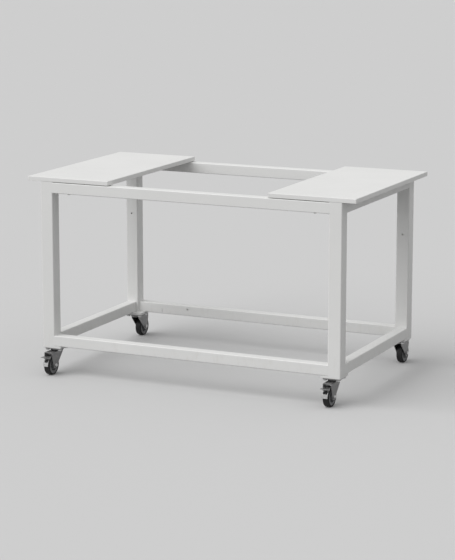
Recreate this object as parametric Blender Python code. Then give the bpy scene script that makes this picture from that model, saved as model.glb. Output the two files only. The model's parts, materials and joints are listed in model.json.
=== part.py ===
"""Laser cutter stand: a welded square-tube frame on four swivel casters, under two folded steel boards.

Metres, +Z up. +X runs along the width, the front faces -Y, and the origin is on the floor in the middle
of the outer box.
"""

import math

import bmesh
import bpy
from mathutils import Matrix

# Fits
GAP = 0.0003  # between pieces that touch
RUN_GAP = 0.0004  # between a turning piece and what it turns on

# Frame of square tube
FRAME_WIDTH = 1.200  # over the legs, left to right
FRAME_DEPTH = 0.728  # over the legs, front to back
LEG_LENGTH = 0.6207
LEG_SIDE = 0.050
LEG_WALL = 0.002
LEG_CORNER = 0.004
RAIL_SIDE = 0.040
RAIL_WALL = 0.0015
RAIL_CORNER = 0.003
TOP_RAIL_DROP = 0.002  # top rails under the tops of the legs, which carry the boards
LEAST_INNER_CORNER = 0.0003
LEG_HOLE_RADIUS = 0.003
LEG_HOLE_HEIGHT = 0.400  # over the foot of each rear leg, in its front wall
RAIL_HOLE_RADIUS = 0.0035
RAIL_HOLE_FROM_LEG = 0.216  # rear bottom rail, from the left leg
RAIL_HOLE_RISE = 0.006  # over the middle of the rail
RAIL_SLOT_FROM_LEG = 0.103
RAIL_SLOT_WIDTH = 0.0015
RAIL_SLOT_HEIGHT = 0.018
RAIL_SLOT_DROP = 0.005  # under the middle of the rail

# Folded boards on top, flush with the front and back of the legs
BOARD_WIDTH = 0.334
BOARD_OVERHANG = 0.052  # past the outer side of the legs
BOARD_HEIGHT = 0.0165
BOARD_SHEET = 0.0015
BOARD_LIP = 0.034  # turned in under the edge, all round
BOARD_FOLD = 0.002  # outer radius of the folds

# Screws that hold the boards, one through each end of the front and rear top rails
SCREW_FROM_LEG = 0.060
SCREW_RADIUS = 0.003
SCREW_HEAD_RADIUS = 0.006
SCREW_HEAD_HEIGHT = 0.0045
SCREW_CROWN_RADIUS = 0.0048  # flat under the rounded head
SCREW_THROUGH = 0.007  # past the board's lip

# Pads under the corners of the frame, which the casters bolt to
PAD_SIDE = 0.076
PAD_HEIGHT = 0.0093
PAD_SLOPE = 0.002  # width of the sloped lower edge
PAD_SLOPE_HEIGHT = 0.0025
PAD_CORNER = 0.004

# Casters
PLATE_SIDE = 0.066
PLATE_HEIGHT = 0.003
PLATE_CORNER = 0.008
RACE_RADIUS = 0.023
RACE_NECK_RADIUS = 0.019
RACE_HEIGHT = 0.0045
KINGPIN_RADIUS = 0.005
KINGPIN_HEAD_RADIUS = 0.009
KINGPIN_HEAD_HEIGHT = 0.003
KINGPIN_CROWN_RADIUS = 0.0063
TRAIL = 0.044  # from the swivel axis to the axle
CROWN_HEIGHT = 0.003
CROWN_RADIUS = 0.024
RACE_SEAT = 0.0006  # the crown's disc stands this far over the roof of the fork
CHEEK = 0.0025
CHEEK_BACK = 0.014  # behind the swivel axis
CHEEK_FRONT = 0.023  # in front of the axle
CHEEK_SKIRT = 0.006  # upright back edge under the roof
CHEEK_FRONT_SKIRT = 0.0135  # upright front edge, down past the pin of the pedal
CHEEK_BOSS_RADIUS = 0.013
WHEEL_HEADROOM = 0.0107  # between the tyre and the roof of the fork
WHEEL_RADIUS = 0.0375
TYRE_WIDTH = 0.025
TYRE_DEPTH = 0.0055
TYRE_SHOULDER = 0.0045
FORK_SIDE_CLEAR = 0.002  # between the tyre and each cheek
HUB_END_PLAY = 0.0008
HUB_BOSS_RADIUS = 0.011
HUB_WEB = 0.008
RIM_DEPTH = 0.009
RIM_WIDTH = 0.022
SLEEVE_WALL = 0.0025
AXLE_RADIUS = 0.004
AXLE_HEX = 0.013  # across the flats
AXLE_HEAD_HEIGHT = 0.005
AXLE_NUT_HEIGHT = 0.0065
AXLE_END = 0.002  # past the nut

# Brake pedals of the front casters
PEDAL_PIN_RADIUS = 0.0025
PEDAL_PIN_CLEAR = 0.0015  # over the tyre
PEDAL_PIN_END = 0.001  # past each cheek
PEDAL_PIN_ANGLE = math.radians(27)  # angles round the axle, from straight up to the front
PEDAL_SIDE_CLEAR = 0.001
PEDAL_WEB_WIDTH = 0.021
PEDAL_CLEAR = 0.003  # over the tyre, at the back of the pedal
PEDAL_CLEAR_LOW = 0.0055  # in front of the tyre, where the lower lip begins
PEDAL_SHEET = 0.0025
PEDAL_START = math.radians(20)
PEDAL_THROAT = math.radians(50)  # where the upper lip leaves the web
PEDAL_END = math.radians(70)  # where the lower lip leaves the web
PEDAL_BOSS = 0.004  # over the pin's axis
PEDAL_LIP = 0.0185  # upper lip, past the front of the tyre
PEDAL_LIP_RISE = 0.0022  # from its root to its edge
PEDAL_TOE = 0.0145  # length of the lower lip
PEDAL_TOE_SLOPE = math.radians(76)

# Facets
CORNER_STEPS = 3
FOLD_STEPS = 2
BOSS_STEPS = 7
WEB_STEPS = 6
WHEEL_STEPS = 28
RING_STEPS = 20
PIN_STEPS = 16
SMOOTH_ANGLE = math.radians(32)

# Heights and places that follow from the sizes
axle_height = WHEEL_RADIUS * math.cos(math.pi / WHEEL_STEPS)  # the tyre stands on one flat
crown_under = axle_height + WHEEL_RADIUS + WHEEL_HEADROOM
crown_top = crown_under + CROWN_HEIGHT
race_bottom = crown_top + RACE_SEAT + RUN_GAP
plate_bottom = race_bottom + RACE_HEIGHT + GAP
plate_top = plate_bottom + PLATE_HEIGHT
pad_bottom = plate_top + GAP
leg_bottom = pad_bottom + PAD_HEIGHT + GAP
leg_top = leg_bottom + LEG_LENGTH
board_bottom = leg_top + GAP
leg_x = (FRAME_WIDTH - LEG_SIDE) / 2
leg_y = (FRAME_DEPTH - LEG_SIDE) / 2
rail_x = (FRAME_WIDTH - RAIL_SIDE) / 2
rail_y = (FRAME_DEPTH - RAIL_SIDE) / 2
top_rail_top = leg_top - TOP_RAIL_DROP
top_rail_height = top_rail_top - RAIL_SIDE / 2
bottom_rail_height = leg_bottom + RAIL_SIDE / 2
long_rail = FRAME_WIDTH - 2 * (LEG_SIDE + GAP)
short_rail = FRAME_DEPTH - 2 * (LEG_SIDE + GAP)
screw_x = FRAME_WIDTH / 2 - LEG_SIDE - SCREW_FROM_LEG
swivel_x = (FRAME_WIDTH - PAD_SIDE) / 2
swivel_y = (FRAME_DEPTH - PAD_SIDE) / 2
fork_half = TYRE_WIDTH / 2 + FORK_SIDE_CLEAR  # to the inside of a cheek
cheek_face = fork_half + CHEEK
sleeve_radius = AXLE_RADIUS + GAP + SLEEVE_WALL
hub_bore = sleeve_radius + RUN_GAP
hub_radius = WHEEL_RADIUS - TYRE_DEPTH - GAP
pivot_radius = WHEEL_RADIUS + PEDAL_PIN_CLEAR + PEDAL_PIN_RADIUS
pivot_forward = pivot_radius * math.sin(PEDAL_PIN_ANGLE)
pivot_rise = pivot_radius * math.cos(PEDAL_PIN_ANGLE)
front_reach = swivel_y + TRAIL + WHEEL_RADIUS + PEDAL_LIP
rear_reach = swivel_y + TRAIL + WHEEL_RADIUS
centre_y = (front_reach - rear_reach) / 2  # centres the outer box on the origin

SIDES = {"left": -1, "right": 1}
ENDS = {"front": -1, "rear": 1}


def clear_scene():
    for thing in list(bpy.data.objects):
        bpy.data.objects.remove(thing, do_unlink=True)


def finish(name, colour, roughness, metallic):
    """A plain material of one colour."""
    material = bpy.data.materials.new(name)
    material.use_nodes = True
    shader = material.node_tree.nodes["Principled BSDF"]
    shader.inputs["Base Color"].default_value = (*colour, 1.0)
    shader.inputs["Roughness"].default_value = roughness
    shader.inputs["Metallic"].default_value = metallic
    return material


def empty(name, place, parent=None, turn=0.0):
    """An unseen point that pieces hang on."""
    point = bpy.data.objects.new(name, None)
    point.location = place
    point.rotation_euler = (0, 0, turn)
    point.parent = parent
    bpy.context.scene.collection.objects.link(point)
    return point


def piece(name, mesh, material, parent, place=(0, 0, 0)):
    """One sub-part of the stand, which may share its mesh with others."""
    thing = bpy.data.objects.new(name, mesh)
    if not mesh.materials:
        mesh.materials.append(material)
    thing.location = place
    thing.parent = parent
    bpy.context.scene.collection.objects.link(thing)
    return thing


def closed(bm):
    bmesh.ops.recalc_face_normals(bm, faces=bm.faces)
    return bm


def loops_shape(loops, ring=False):
    """A closed shape through equal loops of points, capped at both ends or joined into a ring."""
    bm = bmesh.new()
    rows = [[bm.verts.new(point) for point in loop] for loop in loops]
    pairs = list(zip(rows, rows[1:]))
    if ring:
        pairs.append((rows[-1], rows[0]))
    for low, high in pairs:
        for i in range(len(low)):
            j = (i + 1) % len(low)
            bm.faces.new((low[i], low[j], high[j], high[i]))
    if not ring:
        bm.faces.new(rows[0])
        bm.faces.new(rows[-1])
    return closed(bm)


def rounded_square(side, corner, height):
    """A loop of points round a square with round corners."""
    middle = side / 2 - corner
    loop = []
    for quarter in range(4):
        start = quarter * math.pi / 2
        centre_angle = start + math.pi / 4
        for step in range(CORNER_STEPS + 1):
            angle = start + step / CORNER_STEPS * math.pi / 2
            x = math.copysign(middle, math.cos(centre_angle)) + corner * math.cos(angle)
            y = math.copysign(middle, math.sin(centre_angle)) + corner * math.sin(angle)
            loop.append((x, y, height))
    return loop


def along(axis, bm):
    """Turns a shape that was made along Z to lie along X or Y."""
    if axis == "X":
        bm.transform(Matrix.Rotation(math.pi / 2, 4, "Y"))
    if axis == "Y":
        bm.transform(Matrix.Rotation(-math.pi / 2, 4, "X"))
    return bm


def moved(bm, place):
    bm.transform(Matrix.Translation(place))
    return bm


def tube(axis, length, side, wall, corner):
    """A length of square tube, open at both ends, centred on the origin."""
    inner_corner = max(corner - wall, LEAST_INNER_CORNER)
    inner_side = side - 2 * wall
    half = length / 2
    loops = [
        rounded_square(side, corner, -half),
        rounded_square(side, corner, half),
        rounded_square(inner_side, inner_corner, half),
        rounded_square(inner_side, inner_corner, -half),
    ]
    return along(axis, loops_shape(loops, ring=True))


def box(size, place=(0, 0, 0)):
    bm = bmesh.new()
    bmesh.ops.create_cube(bm, size=1, matrix=Matrix.Translation(place) @ Matrix.Diagonal((*size, 1)))
    return bm


def rod(axis, radius, length, place=(0, 0, 0), steps=PIN_STEPS):
    """A round bar, or a drill for a round hole."""
    bm = bmesh.new()
    bmesh.ops.create_cone(bm, cap_ends=True, segments=steps, radius1=radius, radius2=radius, depth=length)
    return moved(along(axis, bm), place)


def prism(outline, low, high):
    """An outline in the YZ plane made solid along X."""
    loops = [[(x, y, z) for y, z in outline] for x in (low, high)]
    return loops_shape(loops)


def turned(profile, steps, axis="Z", phase=0.0):
    """A closed profile of (radius, height) points turned round an axis."""
    bm = bmesh.new()
    rows = []
    for radius, height in profile:
        if radius == 0:
            rows.append([bm.verts.new((0, 0, height))])
            continue
        angles = [phase + 2 * math.pi * step / steps for step in range(steps)]
        rows.append([bm.verts.new((radius * math.cos(a), radius * math.sin(a), height)) for a in angles])
    for low, high in zip(rows, rows[1:] + rows[:1]):
        if len(low) == 1 and len(high) == 1:
            continue
        for i in range(steps):
            j = (i + 1) % steps
            corners = [low[i % len(low)], low[j % len(low)], high[j % len(high)], high[i % len(high)]]
            bm.faces.new(list(dict.fromkeys(corners)))
    return along(axis, closed(bm))


def hexagon(axis, flats, length):
    radius = flats / math.sqrt(3)
    return rod(axis, radius, length, steps=6)


def mesh_of(name, bm):
    mesh = bpy.data.meshes.new(name)
    bm.to_mesh(mesh)
    bm.free()
    return mesh


def smooth(mesh):
    mesh.shade_smooth()
    mesh.set_sharp_from_angle(angle=SMOOTH_ANGLE)
    return mesh


def worked(name, base, steps):
    """The mesh of a shape after each Boolean step, given as (operation, other shape)."""
    body = bpy.data.objects.new(name, mesh_of(name + "_blank", base))
    bpy.context.scene.collection.objects.link(body)
    tools = []
    for operation, shape in steps:
        tool = bpy.data.objects.new(name + "_tool", mesh_of(name + "_tool", shape))
        tool.hide_render = True
        tool.display_type = "WIRE"
        bpy.context.scene.collection.objects.link(tool)
        tools.append(tool)
        change = body.modifiers.new(operation.title(), "BOOLEAN")
        change.operation = operation
        change.solver = "EXACT"
        change.object = tool
    bpy.context.view_layer.update()
    graph = bpy.context.evaluated_depsgraph_get()
    mesh = bpy.data.meshes.new_from_object(body.evaluated_get(graph))
    mesh.name = name
    for thing in [body, *tools]:
        bpy.data.objects.remove(thing, do_unlink=True)
    return mesh


def make_legs(stand, paint):
    """Four legs. The rear ones have a hole in the front wall."""
    drill = rod("Y", LEG_HOLE_RADIUS, LEG_SIDE, (0, -LEG_SIDE / 2, LEG_HOLE_HEIGHT - LEG_LENGTH / 2))
    tube_sizes = (LEG_LENGTH, LEG_SIDE, LEG_WALL, LEG_CORNER)
    plain = mesh_of("leg_plain", tube("Z", *tube_sizes))
    drilled = worked("leg_drilled", tube("Z", *tube_sizes), [("DIFFERENCE", drill)])
    for end, to_back in ENDS.items():
        for side, to_right in SIDES.items():
            mesh = drilled if end == "rear" else plain
            place = (to_right * leg_x, to_back * leg_y, (leg_bottom + leg_top) / 2)
            piece(f"leg_{end}_{side}", mesh, paint, stand, place)


def make_rails(stand, paint):
    """Eight rails, flush with the outer faces of the legs. Screws pass up through the long top ones."""
    screw_hole = SCREW_RADIUS + GAP
    screw_drills = [
        ("DIFFERENCE", rod("Z", screw_hole, 2 * RAIL_SIDE, (to_right * screw_x, 0, 0)))
        for to_right in SIDES.values()
    ]
    hole_x = RAIL_HOLE_FROM_LEG - long_rail / 2
    slot_x = RAIL_SLOT_FROM_LEG - long_rail / 2
    slot_size = (RAIL_SLOT_WIDTH, RAIL_SIDE, RAIL_SLOT_HEIGHT)
    rear_cuts = [
        ("DIFFERENCE", rod("Y", RAIL_HOLE_RADIUS, RAIL_SIDE, (hole_x, -RAIL_SIDE / 2, RAIL_HOLE_RISE))),
        ("DIFFERENCE", box(slot_size, (slot_x, -RAIL_SIDE / 2, -RAIL_SLOT_DROP))),
    ]

    def blank(axis, length):
        return tube(axis, length, RAIL_SIDE, RAIL_WALL, RAIL_CORNER)

    long_plain = mesh_of("rail_long", blank("X", long_rail))
    long_screwed = worked("rail_long_screwed", blank("X", long_rail), screw_drills)
    long_cut = worked("rail_long_cut", blank("X", long_rail), rear_cuts)
    short_plain = mesh_of("rail_short", blank("Y", short_rail))
    for end, to_back in ENDS.items():
        bottom_mesh = long_cut if end == "rear" else long_plain
        piece(f"top_rail_{end}", long_screwed, paint, stand, (0, to_back * rail_y, top_rail_height))
        piece(f"bottom_rail_{end}", bottom_mesh, paint, stand, (0, to_back * rail_y, bottom_rail_height))
    for side, to_right in SIDES.items():
        piece(f"top_rail_{side}", short_plain, paint, stand, (to_right * rail_x, 0, top_rail_height))
        piece(f"bottom_rail_{side}", short_plain, paint, stand, (to_right * rail_x, 0, bottom_rail_height))


def make_boards(stand, paint):
    """Two shallow trays, open side down, whose lips rest on the legs."""
    inner = (BOARD_WIDTH - 2 * BOARD_SHEET, FRAME_DEPTH - 2 * BOARD_SHEET, BOARD_HEIGHT - 2 * BOARD_SHEET)
    mouth = (BOARD_WIDTH - 2 * BOARD_LIP, FRAME_DEPTH - 2 * BOARD_LIP, BOARD_HEIGHT)
    board_x = FRAME_WIDTH / 2 + BOARD_OVERHANG - BOARD_WIDTH / 2
    for side, to_right in SIDES.items():
        blank = box((BOARD_WIDTH, FRAME_DEPTH, BOARD_HEIGHT))
        edges = blank.edges[:]
        bmesh.ops.bevel(blank, geom=edges, offset=BOARD_FOLD, segments=FOLD_STEPS, profile=0.5, affect="EDGES")
        hole_x = to_right * (screw_x - board_x)
        drills = [
            rod("Z", SCREW_RADIUS + GAP, BOARD_HEIGHT, (hole_x, hole_y, -BOARD_HEIGHT / 2))
            for hole_y in (-rail_y, rail_y)
        ]
        cuts = [box(inner), box(mouth, (0, 0, -BOARD_HEIGHT / 2)), *drills]
        mesh = worked(f"board_{side}", blank, [("DIFFERENCE", cut) for cut in cuts])
        place = (to_right * board_x, 0, board_bottom + BOARD_HEIGHT / 2)
        piece(f"top_board_{side}", mesh, paint, stand, place)


def make_screws(stand, paint):
    """One painted pan-head screw up through each end of the long top rails."""
    head_top = top_rail_top - RAIL_SIDE - GAP
    shank_top = board_bottom - head_top + BOARD_SHEET + SCREW_THROUGH
    profile = [
        (0, shank_top),
        (SCREW_RADIUS, shank_top),
        (SCREW_RADIUS, 0),
        (SCREW_HEAD_RADIUS, 0),
        (SCREW_HEAD_RADIUS, -SCREW_HEAD_HEIGHT / 2),
        (SCREW_CROWN_RADIUS, -SCREW_HEAD_HEIGHT),
        (0, -SCREW_HEAD_HEIGHT),
    ]
    mesh = smooth(mesh_of("board_screw", turned(profile, PIN_STEPS)))
    for end, to_back in ENDS.items():
        for side, to_right in SIDES.items():
            place = (to_right * screw_x, to_back * rail_y, head_top)
            piece(f"board_screw_{end}_{side}", mesh, paint, stand, place)


def pad_mesh():
    """A square pad with its lower edges cut back."""
    low_side = PAD_SIDE - 2 * PAD_SLOPE
    loops = [
        rounded_square(low_side, PAD_CORNER, 0),
        rounded_square(PAD_SIDE, PAD_CORNER, PAD_SLOPE_HEIGHT),
        rounded_square(PAD_SIDE, PAD_CORNER, PAD_HEIGHT),
    ]
    return mesh_of("caster_pad", loops_shape(loops))


def plate_mesh():
    loops = [rounded_square(PLATE_SIDE, PLATE_CORNER, height) for height in (0, PLATE_HEIGHT)]
    drill = rod("Z", KINGPIN_RADIUS + GAP, 3 * PLATE_HEIGHT)
    return worked("caster_plate", loops_shape(loops), [("DIFFERENCE", drill)])


def race_mesh():
    """The double ball race between plate and fork, with its waist."""
    bore = KINGPIN_RADIUS + GAP
    waist = RACE_HEIGHT / 2
    step = RACE_HEIGHT / 10
    profile = [
        (bore, 0),
        (RACE_RADIUS, 0),
        (RACE_RADIUS, waist - step),
        (RACE_NECK_RADIUS, waist),
        (RACE_NECK_RADIUS, RACE_HEIGHT),
        (bore, RACE_HEIGHT),
    ]
    return smooth(mesh_of("swivel_race", turned(profile, RING_STEPS)))


def kingpin_mesh():
    """The rivet that the fork turns on. Its head is under the fork's roof, at height 0."""
    top = plate_top - (crown_under - RUN_GAP)
    profile = [
        (0, top),
        (KINGPIN_RADIUS, top),
        (KINGPIN_RADIUS, 0),
        (KINGPIN_HEAD_RADIUS, 0),
        (KINGPIN_CROWN_RADIUS, -KINGPIN_HEAD_HEIGHT),
        (0, -KINGPIN_HEAD_HEIGHT),
    ]
    return smooth(mesh_of("kingpin", turned(profile, PIN_STEPS)))


def tangent_angle(point, centre, radius, way):
    """The angle on a circle where a line from a point outside touches it."""
    dy = point[0] - centre[0]
    dz = point[1] - centre[1]
    return math.atan2(dz, dy) + way * math.acos(radius / math.hypot(dy, dz))


def cheek_outline():
    """Side view of the fork, trailing towards -Y: upright under the roof, then tapering to the axle."""
    axle = (-TRAIL, axle_height)
    back_skirt = crown_under - CHEEK_SKIRT
    front_skirt = crown_under - CHEEK_FRONT_SKIRT
    over = crown_top + CROWN_HEIGHT
    front = -TRAIL - CHEEK_FRONT
    back = CHEEK_BACK
    start = tangent_angle((front, front_skirt), axle, CHEEK_BOSS_RADIUS, 1)
    end = tangent_angle((back, back_skirt), axle, CHEEK_BOSS_RADIUS, -1) + 2 * math.pi
    outline = [(front, over), (front, front_skirt)]
    for step in range(BOSS_STEPS + 1):
        angle = start + (end - start) * step / BOSS_STEPS
        y = axle[0] + CHEEK_BOSS_RADIUS * math.cos(angle)
        z = axle[1] + CHEEK_BOSS_RADIUS * math.sin(angle)
        outline.append((y, z))
    return outline + [(back, back_skirt), (back, over)]


def fork_mesh():
    """A pressed fork: a channel cut to the side view, with a disc on its roof."""
    reach = TRAIL + CHEEK_FRONT + CHEEK_BACK
    middle = (CHEEK_BACK - TRAIL - CHEEK_FRONT) / 2
    seat_top = crown_top + RACE_SEAT
    pivot = (0, -TRAIL - pivot_forward, axle_height + pivot_rise)
    across = 4 * cheek_face
    steps = [
        ("DIFFERENCE", box((2 * fork_half, 2 * reach, 2 * crown_under), (0, middle, 0))),
        ("INTERSECT", prism(cheek_outline(), -across, across)),
        ("UNION", rod("Z", CROWN_RADIUS, CROWN_HEIGHT, (0, 0, seat_top - CROWN_HEIGHT / 2), RING_STEPS)),
        ("DIFFERENCE", rod("Z", KINGPIN_RADIUS + RUN_GAP, crown_top, (0, 0, crown_top))),
        ("DIFFERENCE", rod("X", AXLE_RADIUS + GAP, across, (0, -TRAIL, axle_height))),
        ("DIFFERENCE", rod("X", PEDAL_PIN_RADIUS + RUN_GAP, across, pivot)),
    ]
    blank = box((2 * cheek_face, reach * 1.5, 2 * crown_top), (0, middle, 0))
    return worked("caster_fork", blank, steps)


def bolt_mesh():
    """The axle bolt, head to the left."""
    left = -cheek_face - GAP
    right = cheek_face + GAP + AXLE_NUT_HEIGHT + AXLE_END
    shaft = rod("X", AXLE_RADIUS, right - left + AXLE_HEAD_HEIGHT / 2)
    moved(shaft, ((right + left - AXLE_HEAD_HEIGHT / 2) / 2, 0, 0))
    head = moved(hexagon("X", AXLE_HEX, AXLE_HEAD_HEIGHT), (left - AXLE_HEAD_HEIGHT / 2, 0, 0))
    return worked("axle_bolt", head, [("UNION", shaft)])


def nut_mesh():
    place = (cheek_face + GAP + AXLE_NUT_HEIGHT / 2, 0, 0)
    drill = rod("X", AXLE_RADIUS + GAP, 4 * AXLE_NUT_HEIGHT, place)
    blank = moved(hexagon("X", AXLE_HEX, AXLE_NUT_HEIGHT), place)
    return worked("axle_nut", blank, [("DIFFERENCE", drill)])


def sleeve_mesh():
    half = fork_half - GAP
    bore = AXLE_RADIUS + GAP
    profile = [(bore, -half), (sleeve_radius, -half), (sleeve_radius, half), (bore, half)]
    return smooth(mesh_of("axle_sleeve", turned(profile, PIN_STEPS, "X")))


def hub_mesh():
    """The wheel's core: a boss on the sleeve, a thin web and a rim under the tyre."""
    boss = fork_half - HUB_END_PLAY
    rim = RIM_WIDTH / 2
    web = HUB_WEB / 2
    rim_inside = hub_radius - RIM_DEPTH
    right_half = [
        (hub_radius, rim),
        (rim_inside, rim),
        (rim_inside, web),
        (HUB_BOSS_RADIUS, web),
        (HUB_BOSS_RADIUS, boss),
        (hub_bore, boss),
    ]
    left_half = [(radius, -height) for radius, height in reversed(right_half)]
    profile = right_half + left_half
    return smooth(mesh_of("wheel_hub", turned(profile, WHEEL_STEPS, "X", math.pi / WHEEL_STEPS)))


def tyre_mesh():
    """A solid tyre with round shoulders."""
    half = TYRE_WIDTH / 2
    inside = WHEEL_RADIUS - TYRE_DEPTH
    profile = [(inside, -half)]
    for way in (-1, 1):
        angles = (0, math.pi / 4, math.pi / 2) if way < 0 else (math.pi / 2, math.pi / 4, 0)
        for angle in angles:
            radius = WHEEL_RADIUS - TYRE_SHOULDER * (1 - math.sin(angle))
            height = way * (half - TYRE_SHOULDER * (1 - math.cos(angle)))
            profile.append((radius, height))
    profile.append((inside, half))
    return smooth(mesh_of("tyre", turned(profile, WHEEL_STEPS, "X", math.pi / WHEEL_STEPS)))


def on_web(angle, outward):
    """A point of the pedal's web as (forward, up) from the axle."""
    share = (angle - PEDAL_START) / (PEDAL_END - PEDAL_START)
    radius = WHEEL_RADIUS + PEDAL_CLEAR + share * (PEDAL_CLEAR_LOW - PEDAL_CLEAR) + outward
    return (radius * math.sin(angle), radius * math.cos(angle))


def web_outline():
    """Side view of the web round the tyre, with the lower lip."""
    angles = [PEDAL_START + (PEDAL_END - PEDAL_START) * step / WEB_STEPS for step in range(WEB_STEPS + 1)]
    inner = [on_web(angle, 0) for angle in angles]
    outer = [on_web(angle, PEDAL_SHEET) for angle in reversed(angles)]
    heel = outer[0]
    ahead = math.cos(PEDAL_TOE_SLOPE)
    down = math.sin(PEDAL_TOE_SLOPE)
    toe = (heel[0] + PEDAL_TOE * ahead, heel[1] - PEDAL_TOE * down)
    toe_inside = (toe[0] - PEDAL_SHEET * down, toe[1] - PEDAL_SHEET * ahead)
    return inner + [toe_inside, toe] + outer


def lip_outline():
    """Side view of the boss round the pin and the upper lip in front of it."""
    throat = on_web(PEDAL_THROAT, PEDAL_SHEET / 2)
    edge = (WHEEL_RADIUS + PEDAL_LIP, pivot_rise + PEDAL_LIP_RISE)
    boss_top = pivot_rise + PEDAL_BOSS
    return [
        on_web(PEDAL_PIN_ANGLE, PEDAL_SHEET / 2),
        throat,
        (throat[0] + PEDAL_SHEET, pivot_rise - PEDAL_SHEET),
        (edge[0], edge[1] - PEDAL_SHEET),
        edge,
        (throat[0], pivot_rise),
        (pivot_forward + PEDAL_BOSS, boss_top - PEDAL_SHEET / 2),
        (pivot_forward, boss_top),
        (pivot_forward - PEDAL_BOSS, boss_top),
        on_web(PEDAL_START, PEDAL_SHEET / 2),
    ]


def pedal_mesh():
    """The pedal with its pin, set on the pin's axis."""

    def from_pin(outline):
        return [(pivot_forward - forward, up - pivot_rise) for forward, up in outline]

    half = fork_half - PEDAL_SIDE_CLEAR
    web = prism(from_pin(web_outline()), -PEDAL_WEB_WIDTH / 2, PEDAL_WEB_WIDTH / 2)
    lip = prism(from_pin(lip_outline()), -half, half)
    pin = rod("X", PEDAL_PIN_RADIUS, 2 * (cheek_face + PEDAL_PIN_END))
    return worked("brake_pedal", lip, [("UNION", web), ("UNION", pin)])


def make_casters(stand, finishes):
    """Four casters under the pads. The front ones trail forward and have a brake, the rear ones trail back."""
    paint, zinc, steel, pedal_steel, hub_plastic, rubber = finishes
    pad = pad_mesh()
    plate = plate_mesh()
    race = race_mesh()
    kingpin = kingpin_mesh()
    fork = fork_mesh()
    bolt = bolt_mesh()
    nut = nut_mesh()
    sleeve = sleeve_mesh()
    hub = hub_mesh()
    tyre = tyre_mesh()
    pedal = pedal_mesh()
    for end, to_back in ENDS.items():
        for side, to_right in SIDES.items():
            name = f"{end}_{side}"
            turn = math.pi if end == "rear" else 0.0
            swivel = empty(f"{name}_swivel", (to_right * swivel_x, to_back * swivel_y, 0), stand, turn)
            axle = empty(f"{name}_axle", (0, -TRAIL, axle_height), swivel)
            piece(f"caster_pad_{name}", pad, paint, swivel, (0, 0, pad_bottom))
            piece(f"{name}_caster_plate", plate, zinc, swivel, (0, 0, plate_bottom))
            piece(f"{name}_swivel_race", race, zinc, swivel, (0, 0, race_bottom))
            piece(f"{name}_kingpin", kingpin, steel, swivel, (0, 0, crown_under - RUN_GAP))
            piece(f"{name}_caster_fork", fork, zinc, swivel)
            piece(f"{name}_axle_bolt", bolt, steel, axle)
            piece(f"{name}_axle_nut", nut, steel, axle)
            piece(f"{name}_axle_sleeve", sleeve, steel, axle)
            piece(f"{name}_wheel_hub", hub, hub_plastic, axle)
            piece(f"{name}_tyre", tyre, rubber, axle)
            if end == "front":
                piece(f"{name}_brake_pedal", pedal, pedal_steel, axle, (0, -pivot_forward, pivot_rise))


def main():
    clear_scene()
    paint = finish("white_powder_coat", (0.78, 0.78, 0.76), 0.45, 0.0)
    zinc = finish("zinc_plated_steel", (0.34, 0.34, 0.345), 0.35, 1.0)
    steel = finish("bright_steel", (0.64, 0.64, 0.64), 0.30, 1.0)
    pedal_steel = finish("pedal_steel", (0.38, 0.38, 0.38), 0.37, 1.0)
    hub_plastic = finish("grey_wheel_plastic", (0.16, 0.16, 0.17), 0.50, 0.0)
    rubber = finish("black_tyre", (0.03, 0.03, 0.03), 0.70, 0.0)
    stand = empty("stand", (0, centre_y, 0))
    make_legs(stand, paint)
    make_rails(stand, paint)
    make_boards(stand, paint)
    make_screws(stand, paint)
    make_casters(stand, (paint, zinc, steel, pedal_steel, hub_plastic, rubber))


main()
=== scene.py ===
"""Looks of a laser cutter stand: finer shapes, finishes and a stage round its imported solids.

Laid out as an add-on, and run as a script. Metres, +Z up, in the frame of the solids.
"""

import json
import math

import bmesh
import bpy
from bpy.props import FloatProperty, FloatVectorProperty, IntProperty, PointerProperty
from mathutils import Matrix, Vector


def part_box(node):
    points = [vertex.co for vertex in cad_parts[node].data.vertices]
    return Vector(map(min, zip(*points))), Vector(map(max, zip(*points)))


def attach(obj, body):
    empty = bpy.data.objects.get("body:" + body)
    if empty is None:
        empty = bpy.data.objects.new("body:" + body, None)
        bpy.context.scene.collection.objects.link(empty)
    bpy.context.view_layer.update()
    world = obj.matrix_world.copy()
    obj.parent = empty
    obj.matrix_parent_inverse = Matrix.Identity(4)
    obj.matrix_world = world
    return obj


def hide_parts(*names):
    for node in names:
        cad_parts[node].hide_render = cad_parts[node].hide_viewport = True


bl_info = {
    "name": "Laser cutter stand looks",
    "version": (1, 0, 0),
    "blender": (4, 5, 0),
    "location": "3D View > Sidebar > Stand",
    "description": "Builds the painted frame, the boards, the casters and the stage of a laser cutter stand",
    "category": "Object",
}

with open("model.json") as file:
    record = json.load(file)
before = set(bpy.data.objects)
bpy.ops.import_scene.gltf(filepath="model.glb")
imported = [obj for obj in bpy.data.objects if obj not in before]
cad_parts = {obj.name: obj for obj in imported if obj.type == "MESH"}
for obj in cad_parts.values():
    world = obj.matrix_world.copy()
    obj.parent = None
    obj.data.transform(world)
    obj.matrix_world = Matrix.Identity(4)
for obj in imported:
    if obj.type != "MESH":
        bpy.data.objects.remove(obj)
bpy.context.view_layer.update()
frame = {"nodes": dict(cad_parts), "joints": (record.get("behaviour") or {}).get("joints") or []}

SIDES = {"left": -1, "right": 1}
ENDS = {"front": -1, "rear": 1}
CORNERS = [(end, side) for end in ENDS for side in SIDES]
RAILS = [(level, where) for level in ("top", "bottom") for where in (*ENDS, *SIDES)]
JOINTS = {joint["name"]: Vector(joint["pos_m"]) for joint in frame["joints"]}

SMOOTH_ANGLE = math.radians(38)
BEVEL_ANGLE = math.radians(40)
BEVEL_STEPS = 2
FACE_WEIGHT = 80  # how much the large faces rule the smooth shading
PAST = 0.001  # how far one shape reaches into or past another that it joins or cuts
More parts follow.
